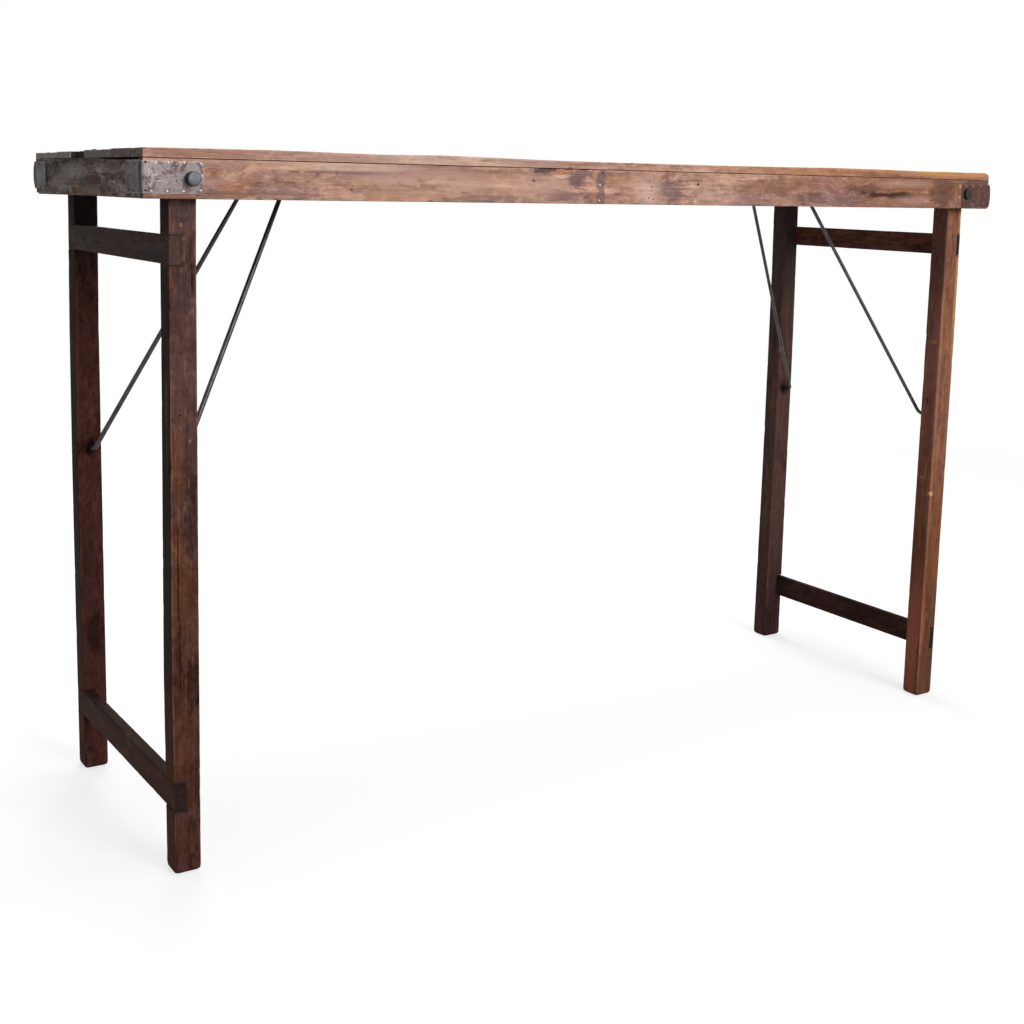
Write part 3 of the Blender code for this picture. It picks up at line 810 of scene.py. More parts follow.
STRETCHER_TONES = {
    "left_upper": palette(
        dark=(42, 34, 31), mid=(74, 63, 57), light=(100, 86, 78),
        warm=(84, 64, 54), pink=(76, 66, 62), grey=(76, 70, 68), worn=(110, 88, 76),
    ),
    "left_lower": palette(
        dark=(44, 29, 24), mid=(74, 51, 42), light=(96, 68, 56),
        warm=(82, 56, 40), pink=(70, 49, 46), grey=(64, 50, 46), worn=(104, 76, 60),
    ),
    "right_upper": palette(
        dark=(70, 44, 36), mid=(110, 73, 61), light=(136, 94, 78),
        warm=(118, 76, 58), pink=(104, 70, 62), grey=(90, 66, 60), worn=(140, 98, 78),
    ),
    "right_lower": palette(
        dark=(38, 24, 22), mid=(62, 41, 37), light=(82, 56, 49),
        warm=(66, 42, 34), pink=(60, 40, 38), grey=(56, 42, 40), worn=(92, 64, 54),
    ),
}
# Painted shade on the left posts' outward faces: its colour, its share at the foot, how fast it grows with
# height, and how far in from the outermost face it reaches
SIDE_SHADE = rgb(40, 31, 27)
SIDE_SHADE_LOW = 0.2
SIDE_SHADE_RISE = 0.7
SIDE_SHADE_DEPTH = 0.006
# Painted shade in the seam along the rails' tops, under the boards
SEAM_SHADE = rgb(50, 36, 32)
# Painted shade in the recess of the broken board end
BREAK_SHADE = rgb(66, 58, 56)
PURPLE = rgb(128, 100, 100)
BLACKENED = rgb(70, 50, 45)
PALE = rgb(212, 182, 166)
ORANGE = rgb(186, 124, 86)
RUSSET = rgb(142, 100, 82)

# How the front board's top edge rises and sinks along it: (x, rise in mm)
PLANK_WARP = (
    (-0.885, 0.2), (-0.80, 1.0), (-0.70, 1.7), (-0.62, 1.2), (-0.52, 0.2), (-0.40, 1.9), (-0.30, 0.8),
    (-0.22, -0.2), (-0.12, -1.2), (0.04, -1.7), (0.12, -1.1), (0.24, -0.1), (0.34, 0.5), (0.46, 1.8),
    (0.58, 1.5), (0.70, 0.6), (0.84, 0.8), (0.885, 0.8),
)
WARP_REACH = 0.05

# How deep the broken board end goes: (share of its width, share of its depth)
BREAK_PROFILE = ((0.0, 0.80), (0.38, 1.0), (0.62, 0.75), (0.88, 0.6), (1.0, 0.0))

# How far each post's low and high X sides stand off straight: (height, low side, high side in mm)
LEG_BOWS = {
    "leg_left_front": (
        (0.0, -0.8, 1.0), (0.15, -1.4, 1.0), (0.3, -2.8, 1.0), (0.5, -2.0, 1.2), (0.75, -0.6, 1.6),
        (0.95, -0.2, 1.8), (1.03, 0.2, 2.6),
    ),
    "leg_left_back": (
        (0.0, 0.2, 1.6), (0.3, -1.6, 0.6), (0.55, -2.4, -0.2), (0.8, -2.0, -0.6), (1.0, 0.0, 0.8),
    ),
    "leg_right_front": (
        (0.0, -1.6, 1.2), (0.2, -1.6, 1.2), (0.5, 0.0, 2.0), (0.75, 0.2, 2.8), (0.9, 0.2, 1.8),
        (1.0, 0.0, 0.0),
    ),
    "leg_right_back": (
        (0.0, -3.2, 3.4), (0.15, -2.2, 3.2), (0.4, -0.2, 2.8), (0.65, 0.0, 2.8), (0.87, -0.4, 0.2),
        (0.97, -2.2, -1.4), (1.03, -3.4, -2.2),
    ),
}

# How far two boards' left ends sag, and from where
LEFT_SAG = 0.001
SAG_START = -0.72

# How far the left end rail's foot drops towards the back, and its groove under the boards
END_RAIL_DROP = 0.002
END_GAP = 0.0026
END_GAP_START = -0.085
END_GAP_RUN = 0.05


def plank_shapers(node, low, high):
    """The forms of one board: its rounded right end, and a warp or a broken end where it has one."""
    def warp(bm):
        for vert in bm.verts:
            if vert.co.z > high.z - SEAT:
                fall = max(0.0, 1.0 - (vert.co.y - low.y) / WARP_REACH)
                vert.co.z += read_off(PLANK_WARP, vert.co.x)[0] * MM * fall * fall

    def break_end(bm):
        for vert in bm.verts:
            across = (vert.co.y - low.y) / BROKEN_WIDTH
            back = max(0.0, 1.0 - (vert.co.x - low.x) / BROKEN_REACH)
            splinter = 1.0 + 0.25 * noise.noise(Vector((vert.co.y * 210.0, vert.co.z * 400.0, 2.0)))
            vert.co.x += read_off(BREAK_PROFILE, across)[0] * BROKEN_DEPTH * splinter * back

    def round_right_end(bm):
        for vert in bm.verts:
            u = 1 + (vert.co.x - high.x) / PLANK_END_ROUND
            w = 1 + (vert.co.z - high.z) / PLANK_END_ROUND
            if 0.0 < u <= 1.0 and 0.0 < w <= 1.0:
                vert.co.x -= PLANK_END_ROUND * u * (1 - math.sqrt(1 - w * w / 2))
                vert.co.z -= PLANK_END_ROUND * w * (1 - math.sqrt(1 - u * u / 2))

    def sag(bm):
        for vert in bm.verts:
            if vert.co.z > low.z + SEAT:
                vert.co.z -= LEFT_SAG * max(0.0, (SAG_START - vert.co.x) / (SAG_START - low.x))

    forms = {"plank_front": warp, "plank_mid_front": sag, "plank_mid_back": break_end, "plank_back": sag}
    return [round_right_end, forms[node]]


# Faces that marks lie on, in mm: the front rail's, the front posts' and the left end's
RAIL_FACE_Y = -278
POST_FACE_Y = -252.6
END_FACE_X = -885


def mark(x, y, z, wide, deep, high, colour, share):
    """A stain or a chip: its middle and its radii along X, Y and Z in mm, its colour and its strength."""
    return ((x * MM, y * MM, z * MM), (wide * MM, deep * MM, high * MM), colour, share)


def on_rail(x, z, wide, high, colour, share):
    """A mark on the front rail's face."""
    return mark(x, RAIL_FACE_Y, z, wide, 20, high, colour, share)


def on_end(y, z, wide, high, colour, share):
    """A mark on the table's left end."""
    return mark(END_FACE_X, y, z, 20, wide, high, colour, share)


def on_post(x, z, wide, high, colour, share):
    """A mark on a front post's face."""
    return mark(x, POST_FACE_Y, z, wide, 10, high, colour, share)


PLANK_KNOTS = {
    "plank_front": [((0.32, -0.20, 1.1), 0.016, "Y"), ((-0.55, -0.23, 1.1), 0.012, "Y")],
    "plank_mid_front": [((-0.12, -0.06, 1.1), 0.018, "Y")],
    "plank_mid_back": [((0.52, 0.07, 1.1), 0.014, "Y"), ((-0.38, 0.04, 1.1), 0.011, "Y")],
    "plank_back": [((0.08, 0.22, 1.1), 0.017, "Y")],
}
PLANK_STAINS = {
    "plank_front": [
        mark(-200, -170, 1100, 60, 50, 50, RUSSET, 0.5),
        mark(-820, RAIL_FACE_Y, 1092, 120, 30, 14, rgb(158, 118, 106), 0.7),
        mark(420, RAIL_FACE_Y, 1095, 200, 30, 10, rgb(196, 140, 104), 0.6),
        mark(-380, RAIL_FACE_Y, 1094, 200, 30, 14, PALE, 0.55),
        mark(600, RAIL_FACE_Y, 1089, 80, 30, 5, rgb(112, 78, 62), 0.6),
        mark(500, RAIL_FACE_Y, 1094, 70, 30, 5, RUSSET, 0.6),
        mark(780, RAIL_FACE_Y, 1097, 140, 30, 6, rgb(206, 150, 94), 0.75),
        mark(-620, RAIL_FACE_Y, 1094, 140, 30, 10, rgb(196, 158, 144), 0.5),
    ],
    "plank_mid_front": [mark(330, -80, 1100, 70, 50, 50, BLACKENED, 0.45)],
    "plank_mid_back": [mark(-620, 90, 1100, 90, 50, 50, PURPLE, 0.6)],
    "plank_back": [mark(550, 200, 1100, 50, 60, 50, BLACKENED, 0.4)],
}
PLANK_ENDS = {
    "plank_front": (rgb(56, 52, 52), rgb(150, 144, 144)),
    "plank_mid_front": (rgb(104, 99, 99), rgb(152, 147, 147)),
    "plank_mid_back": (rgb(122, 119, 119), rgb(174, 171, 171)),
    "plank_back": (rgb(126, 123, 123), rgb(180, 177, 177)),
}
PLANK_FADES = [("X", 0.0, 0.75, rgb(162, 110, 82), 0.9)]


def build_planks():
    for order, node in enumerate(PLANK_KNOTS):
        low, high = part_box(node)
        broken = node == "plank_mid_back"
        material = wood(
            "boards_" + node, "X", BOARD_TONES, 3.0 + 4.1 * order, knots=PLANK_KNOTS[node],
            stains=PLANK_STAINS[node], fades=PLANK_FADES, edge_wear=0.25,
            painted_shade=BREAK_SHADE if broken else None, end_tones=PLANK_ENDS[node], cracks=0.25,
        )

        # Painted shade on the recessed faces of the broken end
        def in_break(point, normal, low=low):
            near = point.x < low.x + BROKEN_REACH and point.y < low.y + BROKEN_WIDTH
            return 1.0 if near and normal.x < -0.3 else 0.0

        def above_rails(edge, low=low):
            return any(v.co.z > low.z + SEAT for v in edge.verts)

        def on_rails(point, low=low):
            return point.z < low.z + MM

        features = ([low.x + BROKEN_REACH], [low.y + BROKEN_WIDTH], ())
        timber(
            node, "top", material, "X", 3.0 + order, nicks=PLANK_NICKS,
            shade_share=in_break if broken else no_shade, edge_round=PLANK_EDGE_ROUND, rounded=above_rails,
            seated=on_rails, shapers=plank_shapers(node, low, high), ends=(1.0, 0.15),
            features=features if broken else ((), (), ()),
        )


FRONT_STAINS = [
    on_rail(-560, 1080, 110, 7, PALE, 0.75),
    on_rail(-580, 1071, 80, 3, PURPLE, 0.65),
    on_rail(-660, 1066, 80, 5, PURPLE, 0.45),
    on_rail(-700, 1040, 120, 10, PURPLE, 0.55),
    on_rail(-780, 1035, 50, 8, BLACKENED, 0.35),
    on_rail(-840, 1031, 60, 7, rgb(138, 98, 86), 0.80),
    on_rail(-749, 1046, 24, 12, ORANGE, 0.45),
    on_rail(-780, 1067, 10, 7, ORANGE, 0.60),
    on_rail(-420, 1056, 120, 20, rgb(218, 178, 154), 0.45),
    on_rail(-320, 1036, 80, 8, PURPLE, 0.60),
    on_rail(-240, 1058, 80, 16, rgb(218, 178, 154), 0.40),
    on_rail(-160, 1042, 50, 8, PURPLE, 0.45),
    on_rail(-142, 1068, 20, 12, PURPLE, 0.90),
    on_rail(64, 1052, 36, 20, PURPLE, 0.80),
    on_rail(10, 1052, 26, 26, PALE, 0.55),
    on_rail(170, 1050, 50, 18, PALE, 0.35),
    on_rail(300, 1062, 120, 14, RUSSET, 0.70),
    on_rail(450, 1044, 80, 14, PURPLE, 0.75),
    on_rail(600, 1053, 65, 6, BLACKENED, 0.95),
    on_rail(540, 1064, 50, 8, BLACKENED, 0.45),
    on_rail(670, 1044, 50, 8, PALE, 0.28),
    on_rail(650, 1075, 80, 7, PALE, 0.25),
    on_rail(750, 1060, 30, 40, BLACKENED, 0.50),
    on_rail(810, 1062, 60, 36, rgb(132, 92, 76), 0.60),
    on_rail(855, 1082, 60, 8, rgb(112, 82, 75), 0.90),
]
FRONT_CHIPS = [
    on_rail(-91.2, 1058, 8.5, 60, rgb(122, 98, 98), 0.80),
    on_rail(-205, 1082, 24, 5, rgb(92, 74, 74), 0.90),
    on_rail(-176, 1079, 24, 3, ORANGE, 0.85),
    on_rail(-172, 1073.5, 16, 3, PALE, 0.90),
    on_rail(-130, 1080, 26, 7, rgb(128, 104, 102), 0.80),
    on_rail(-560, 1046, 3, 2, BLACKENED, 0.60),
    on_rail(-228, 1066, 4, 2, rgb(112, 66, 48), 0.80),
    on_rail(47.4, 1076.9, 8, 7, rgb(140, 106, 96), 0.80),
    on_rail(699, 1060, 12, 2.4, PALE, 0.32),
    on_rail(705, 1042, 8, 2.4, PALE, 0.32),
    on_rail(753, 1059, 6, 4, rgb(90, 72, 68), 0.70),
    on_rail(790, 1052, 4, 14, rgb(176, 124, 86), 0.60),
    on_rail(776, 1040, 6, 4, rgb(178, 142, 120), 0.40),
    on_rail(800, 1073, 3, 4, rgb(190, 166, 140), 0.70),
    on_rail(800, 1052, 3, 3, rgb(190, 166, 140), 0.70),
]
FRONT_KNOTS = [
    ((-0.779, -0.278, 1.0687), 0.011, "Z"),
    ((0.500, -0.278, 1.060), 0.012, "Z"),
    ((0.047, -0.278, 1.077), 0.006, "Z"),
]
BOTTOM_BITES = (-0.710, -0.420, -0.307, 0.350)
TOP_BITES = (-0.212, -0.197, -0.184, -0.160, -0.130)
FRONT_BITES = [
    *(((x, -0.278, 1.0287), 0.007, (0.0, 1.5 * MM, 2.2 * MM)) for x in BOTTOM_BITES),
    *(((x, -0.278, 1.0867), 0.010, (0.0, 1.6 * MM, -1.0 * MM)) for x in TOP_BITES),
]
BACK_KNOTS = [((0.3, 0.278, 1.06), 0.014, "Z"), ((-0.5, 0.278, 1.05), 0.010, "Z")]
BACK_STAINS = [
    mark(-300, 278, 1050, 50, 20, 20, PURPLE, 0.6),
    on_end(278, 1058, 40, 80, rgb(88, 80, 78), 0.95),
]
END_STAINS = [
    on_end(20, 1037, 50, 8, rgb(124, 96, 74), 0.7),
    on_end(-50, 1055, 40, 10, rgb(98, 72, 68), 0.8),
    on_end(-120, 1045, 50, 14, rgb(72, 60, 57), 0.5),
    on_end(140, 1050, 40, 12, rgb(172, 160, 156), 0.6),
    on_end(200, 1070, 50, 12, rgb(98, 88, 86), 0.7),
    on_end(60, 1068, 60, 12, rgb(176, 166, 160), 0.6),
]
END_CHIPS_AND_SEAM_SHADE = [
    # The first two are painted shade: near-black lines in the seam under the boards, along the end rail's
    # top edge
    on_end(-190, 1086.4, 110, 3.4, rgb(18, 13, 12), 1.0),
    on_end(125, 1086.7, 40, 1.6, rgb(26, 20, 18), 0.9),
    on_end(90, 1038, 4, 10, rgb(58, 48, 46), 0.8),
    on_end(-100, 1062, 12, 2, rgb(64, 54, 52), 0.8),
]
RAIL_ENDS = (rgb(58, 49, 46), rgb(124, 115, 112))
RAIL_FADES = [("X", 0.22, 0.62, rgb(142, 97, 75), 0.85)]


def reaches_up(height):
    """Whether a point lies at a rail's upper face, which the boards rest on."""
    return lambda point: point.z > height - MM


def build_long_rails():
    looks = {
        "front": dict(knots=FRONT_KNOTS, stains=FRONT_STAINS, chips_and_shade=FRONT_CHIPS, seed=1.7),
        "back": dict(knots=BACK_KNOTS, stains=BACK_STAINS, seed=9.2),
    }
    for order, face_name in enumerate(FACES):
        node = f"rail_{face_name}"
        low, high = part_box(node)
        outer = low.y if face_name == "front" else high.y
        material = wood(
            node + "_wood", "X", RAIL_TONES, fades=RAIL_FADES, weathering=0.75, painted_shade=SEAM_SHADE,
            end_tones=RAIL_ENDS, cracks=0.12, **looks[face_name],
        )

        # Painted shade in the seam along the rail's top, under the boards
        def near_seam(point, normal, high=high):
            return max(0.0, 1.0 - (high.z - point.z) / SEAM_DEPTH)

        def below_boards(edge, outer=outer, high=high):
            on_top = all(v.co.z > high.z - SEAT for v in edge.verts)
            return not on_top or all(abs(v.co.y - outer) < SEAT for v in edge.verts)

        timber(
            node, "top", material, "X", 1.0 + order, cuts=("rail_left", "rail_right"),
            bites=FRONT_BITES if face_name == "front" else (), shade_share=near_seam, rounded=below_boards,
            seated=reaches_up(high.z), ends=(1.0, 0.2),
        )


def left_rail_shapers(low, high):
    """The left end rail's forms: its foot drops towards the back, and a groove opens under the boards."""
    def drop_back(bm):
        for vert in bm.verts:
            share = (high.z - vert.co.z) / (high.z - low.z)
            vert.co.z -= END_RAIL_DROP * share * max(0.0, vert.co.y / high.y)

    def open_seam(bm):
        for vert in bm.verts:
            if vert.co.z > high.z - SEAT and vert.co.x < low.x + SEAT:
                share = (END_GAP_START - vert.co.y) / END_GAP_RUN
                vert.co.z -= END_GAP * min(1.0, max(0.0, share))

    return [drop_back, open_seam]


def build_end_rails():
    looks = {
        "left": dict(tones=END_TONES, seed=14.0, stains=END_STAINS, chips_and_shade=END_CHIPS_AND_SEAM_SHADE, contrast=2.6),
        "right": dict(tones=RAIL_TONES, seed=17.0),
    }
    for side_name, look in looks.items():
        node = f"rail_{side_name}"
        low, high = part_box(node)
        material = wood(node + "_wood", "Y", weathering=0.7, **look)

        def under_top(edge, high=high):
            return not all(v.co.z > high.z - SEAT for v in edge.verts)

        timber(
            node, "top", material, "Y", 5.0, rounded=under_top, seated=reaches_up(high.z),
            shapers=left_rail_shapers(low, high) if side_name == "left" else (),
        )


def build_battens():
    batten_wood = wood("batten_wood", "Y", RAIL_TONES, 21.0, weathering=0.5)
    for order, name in enumerate(BATTENS):
        timber(name, "top", batten_wood, "Y", 30.0 + order)


LEG_STAINS = {
    "left_front": [
        on_post(-818, 1020, 40, 50, rgb(90, 70, 71), 0.75),
        on_post(-819, 720, 30, 60, rgb(106, 75, 70), 0.6),
        on_post(-818, 900, 14, 50, rgb(78, 57, 57), 0.7),
        on_post(-819, 820, 30, 60, rgb(96, 69, 65), 0.6),
        on_post(-828, 640, 10, 60, rgb(108, 66, 44), 0.7),
        on_post(-808, 560, 12, 60, rgb(62, 40, 36), 0.7),
        on_post(-825, 460, 12, 60, rgb(104, 62, 40), 0.7),
        on_post(-810, 300, 14, 40, rgb(50, 31, 26), 0.8),
        on_post(-828, 210, 12, 50, rgb(96, 58, 38), 0.6),
        on_post(-820, 50, 30, 60, rgb(84, 50, 37), 0.7),
    ],
    "left_back": [
        mark(-815, 214.6, 250, 14, 10, 40, rgb(44, 24, 20), 0.7),
        mark(-819, 214.6, 588, 14, 10, 16, rgb(28, 16, 14), 0.9),
        mark(-819, 214.6, 1000, 60, 30, 80, rgb(42, 37, 37), 0.95),
    ],
    "right_front": [
        mark(842, POST_FACE_Y, 920, 9, 12, 260, rgb(204, 146, 92), 0.9),
        mark(801, POST_FACE_Y, 700, 5, 8, 400, rgb(172, 122, 88), 0.6),
        mark(799, -235, 640, 10, 12, 30, rgb(78, 48, 41), 0.8),
        mark(799, -240, 930, 10, 30, 100, rgb(108, 76, 72), 0.7),
        mark(799, -235, 120, 10, 30, 140, rgb(166, 100, 82), 0.85),
        mark(799, -235, 700, 10, 30, 140, rgb(152, 104, 92), 0.6),
        on_post(830, 350, 12, 120, rgb(140, 84, 50), 0.6),
        on_post(815, 50, 40, 70, rgb(93, 64, 52), 0.75),
    ],
    "right_back": [
        mark(819, 214.6, 450, 30, 12, 220, rgb(98, 68, 62), 0.7),
        mark(805, 224.6, 930, 50, 30, 140, rgb(76, 66, 66), 0.7),
        mark(819, 214.6, 600, 12, 10, 16, rgb(36, 26, 24), 0.8),
        mark(815, 214.6, 30, 30, 12, 50, rgb(60, 40, 38), 0.7),
    ],
}
LEG_CHIPS = {
    "left_front": [
        on_post(-820.2, 992, 2.2, 2.8, rgb(166, 106, 68), 0.8),
        on_post(-836.8, 1000, 1.6, 20, rgb(128, 82, 62), 0.7),
        on_post(-833, 983, 6, 1.2, rgb(128, 82, 62), 0.7),
        on_post(-830.2, 460, 1.2, 80, rgb(28, 17, 15), 0.9),
        on_post(-828.4, 345, 1.1, 70, rgb(28, 17, 15), 0.8),
        on_post(-804.5, 915, 1.6, 30, rgb(34, 22, 20), 0.8),
        on_post(-824.7, 714, 1.6, 2, rgb(24, 16, 14), 0.9),
        on_post(-809.7, 674, 1.8, 2.6, rgb(166, 120, 92), 0.8),
        on_post(-812, 610, 1.2, 10, rgb(128, 86, 66), 0.6),
        on_post(-800, 274, 3.5, 8, rgb(34, 22, 20), 0.9),
        mark(-839, -236, 735, 10, 3.5, 40, rgb(112, 102, 94), 0.7),
        mark(-839, -238, 652, 10, 2, 34, rgb(88, 80, 76), 0.6),
        on_post(-816, 780, 1, 16, rgb(140, 98, 78), 0.7),
    ],
    "left_back": [mark(-837, 214.6, 800, 1.2, 10, 100, rgb(104, 60, 44), 0.6)],
    "right_front": [
        mark(802.4, POST_FACE_Y, 438.4, 4, 8, 5, rgb(216, 176, 136), 0.95),
        mark(799, -237.7, 755.3, 10, 8.5, 3.6, rgb(190, 126, 78), 0.95),
        mark(799, -229, 470.5, 10, 10, 1, rgb(190, 140, 110), 0.8),
        mark(799, -230, 632, 10, 3, 6, rgb(58, 36, 32), 0.8),
    ],
    "right_back": [mark(799, 215.4, 690.3, 4, 3, 6, rgb(140, 96, 76), 0.8)],
}
LEG_FADES = {
    "left_front": [("Z", 0.70, 0.30, rgb(80, 47, 35), 0.75)],
    "left_back": [("Z", 0.95, 0.40, rgb(74, 42, 36), 0.5)],
    "right_front": [("Z", 0.60, 0.15, rgb(108, 66, 44), 0.85)],
    "right_back": [("Z", 0.45, 0.10, rgb(73, 50, 46), 0.6)],
}
LEG_FIGURES = {"left": (11.0, 34.0), "right": (4.5, 44.0)}
LEG_CONTRASTS = {"left": 2.1, "right": 1.0}
LEG_BITES = {
    "left_front": [
        ((-0.8390, -0.2526, 1.004), 0.010, (1.0 * MM, 0.8 * MM, 0.0)),
        ((-0.8390, -0.2526, 0.640), 0.016, (1.2 * MM, 0.8 * MM, 0.0)),
    ],
    "right_front": [((0.8000, -0.2526, 0.438), 0.008, (1.4 * MM, 1.0 * MM, 0.0))],
}
STRETCHER_STAINS = {
    "stretcher_left_lower": [mark(-830, 0, 147, 50, 500, 8, rgb(46, 30, 24), 1.0)],
}
STRETCHER_ENDS = {"stretcher_left_upper": (rgb(70, 50, 47), rgb(100, 73, 66))}
DARK_ENDS = (rgb(26, 20, 20), rgb(54, 42, 41))


def leg_shapers(node, low, high, pivot):
    """A post's forms: its half-round top, its rounded foot and its bow."""
    middle, half = (low + high) / 2, (high - low) / 2
    rise = high.z - pivot.z

    def round_top(bm):
        for vert in bm.verts:
            if vert.co.z > pivot.z:
                u, w = (vert.co.x - middle.x) / half.x, (vert.co.z - pivot.z) / rise
                vert.co.x = middle.x + half.x * u * math.sqrt(1 - w * w / 2)
                vert.co.z = pivot.z + rise * w * math.sqrt(1 - u * u / 2)

    def round_foot(bm):
        for vert in bm.verts:
            w = 1 - (vert.co.z - low.z) / FOOT_ROUND
            if w > 0.0:
                inset = FOOT_ROUND * (1 - math.sqrt(1 - w * w))
                for i in (0, 1):
                    vert.co[i] -= (vert.co[i] - middle[i]) * inset / half[i]

    def bow(bm):
        for vert in bm.verts:
            share = (vert.co.x - low.x) / (2 * half.x)
            low_side, high_side = read_off(LEG_BOWS[node], vert.co.z)
            vert.co.x += MM * (low_side * (1 - share) ** 3 + high_side * share ** 3)

    return [round_top, round_foot, bow]


def post_bores(face, low, high, pivot, stay_pivot):
    """Cutters for a post's pivot hole and for the hole that the stay's foot turns in."""
    middle_y, width = (low.y + high.y) / 2, high.y - low.y
    inner_y = middle_y - face * width / 2
    holes = (
        (pivot.x, middle_y, pivot.z, BOLT_HOLE_RADIUS, width),
        (stay_pivot.x, inner_y, stay_pivot.z, ROD_FOOT_RADIUS + 0.5 * MM, STAY_TENON + MM),
    )
    for x, y, z, radius, reach in holes:
        profile = [(0.0, -reach), (radius, -reach), (radius, reach), (0.0, reach)]
        yield turned(profile, (x, y, z), (0.0, 1.0, 0.0))


def build_post(side_name, face_name, stretchers):
    side, face = SIDES[side_name], FACES[face_name]
    tag = f"{side_name}_{face_name}"
    node = f"leg_{tag}"
    low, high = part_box(node)
    pivot, stay_pivot = PIVOTS[f"{side_name}_fold"], PIVOTS[f"{side_name}_stay_swing"]
    seed = 40.0 + 7.0 * side + 3.0 * face
    material = wood(
        node + "_wood", "Z", LEG_TONES[tag], seed, stains=LEG_STAINS[tag], chips_and_shade=LEG_CHIPS[tag],
        fades=LEG_FADES[tag], edge_wear=0.45, painted_shade=SIDE_SHADE if side < 0 else None, cracks=0.45,
        figure=LEG_FIGURES[side_name], contrast=LEG_CONTRASTS[side_name],
    )
    skin = furthest(low.x, high.x) - SIDE_SHADE_DEPTH

    # Painted shade on a left post's outward face, weaker towards the foot
    def outside(point, normal):
        side_shade_share = min(1.0, SIDE_SHADE_LOW + point.z / SIDE_SHADE_RISE)
        return side_shade_share if normal.x * side > 0.75 and abs(point.x) > skin else 0.0

    leg = timber(
        node, f"{side_name}_leg_frame", material, "Z", seed, cuts=stretchers, nicks=LEG_NICKS,
        bites=LEG_BITES.get(tag, ()), shade_share=outside, edge_round=LEG_EDGE_ROUND,
        shapers=leg_shapers(node, low, high, pivot), features=((), (), (pivot.z, *FOOT_LINES)),
    )
    carve(leg, post_bores(face, low, high, pivot, stay_pivot))


def build_stretcher(side_name, name):
    seed = 60.0 + SIDES[side_name] * 5.0 + (2.0 if name.endswith("upper") else 0.0)
    material = wood(
        name + "_wood", "Y", STRETCHER_TONES[name.removeprefix("stretcher_")], seed, edge_wear=0.3,
        end_tones=STRETCHER_ENDS.get(name, DARK_ENDS), figure=(8.0, 36.0),
        stains=STRETCHER_STAINS.get(name, ()), contrast=1.4,
    )
    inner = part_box(f"leg_{side_name}_back")[0].y - CUT_MARGIN

    def in_notch(point):
        return abs(point.y) > inner

    timber(
        name, f"{side_name}_leg_frame", material, "Y", seed, nicks=STRETCHER_NICKS,
        edge_round=STRETCHER_EDGE_ROUND, seated=in_notch,
    )


def build_legs():
    for side_name in SIDES:
        stretchers = (f"stretcher_{side_name}_upper", f"stretcher_{side_name}_lower")
        for face_name in FACES:
            build_post(side_name, face_name, stretchers)
        for name in stretchers:
            build_stretcher(side_name, name)


def strap_bulge(from_bend, height_share):
    """How far a strap stands out at a distance from its bend and a share of its half height."""
    return STRAP_BULGE * math.exp(-(from_bend / STRAP_BULGE_REACH) ** 2) * (1 - height_share ** 2)


def strap_path(low, high):
    """A strap's run in plan, as if at the corner in +X and +Y.

    Gives its length, the runs of its end part and its bend, and a function from a distance along it
    to a point of its outer face and the way out there. It starts on the table's end.
    """
    outer_x, inner_x = furthest(low.x, high.x), nearest(low.x, high.x)
    outer_y, inner_y = furthest(low.y, high.y), nearest(low.y, high.y)
    end_run = outer_y - inner_y - STRAP_BEND
    bend_run = STRAP_BEND * math.pi / 2
    front_run = outer_x - inner_x - STRAP_BEND

    def along(distance):
        if distance < end_run:
            return Vector((outer_x, inner_y + distance)), Vector((1.0, 0.0))
        if distance < end_run + bend_run:
            angle = (distance - end_run) / STRAP_BEND
            out = Vector((math.cos(angle), math.sin(angle)))
            return Vector((outer_x - STRAP_BEND, outer_y - STRAP_BEND)) + out * STRAP_BEND, out
        return Vector((outer_x - STRAP_BEND - (distance - end_run - bend_run), outer_y)), Vector((0.0, 1.0))

    return end_run + bend_run + front_run, end_run, bend_run, along


def close_sheets(bm, outer, inner):
    """Faces for two sheets of points and for the edges between them."""
    rows = len(outer[0]) - 1
    for sheet in (outer, inner):
        for first, second in zip(sheet, sheet[1:]):
            for i in range(rows):
                bm.faces.new((first[i], first[i + 1], second[i + 1], second[i]))
    for j in (0, -1):
        for i in range(rows):
            bm.faces.new((outer[j][i], outer[j][i + 1], inner[j][i + 1], inner[j][i]))
    for j in range(len(outer) - 1):
        for i in (0, rows):
            bm.faces.new((outer[j][i], outer[j + 1][i], inner[j + 1][i], inner[j][i]))
    bmesh.ops.recalc_face_normals(bm, faces=bm.faces)


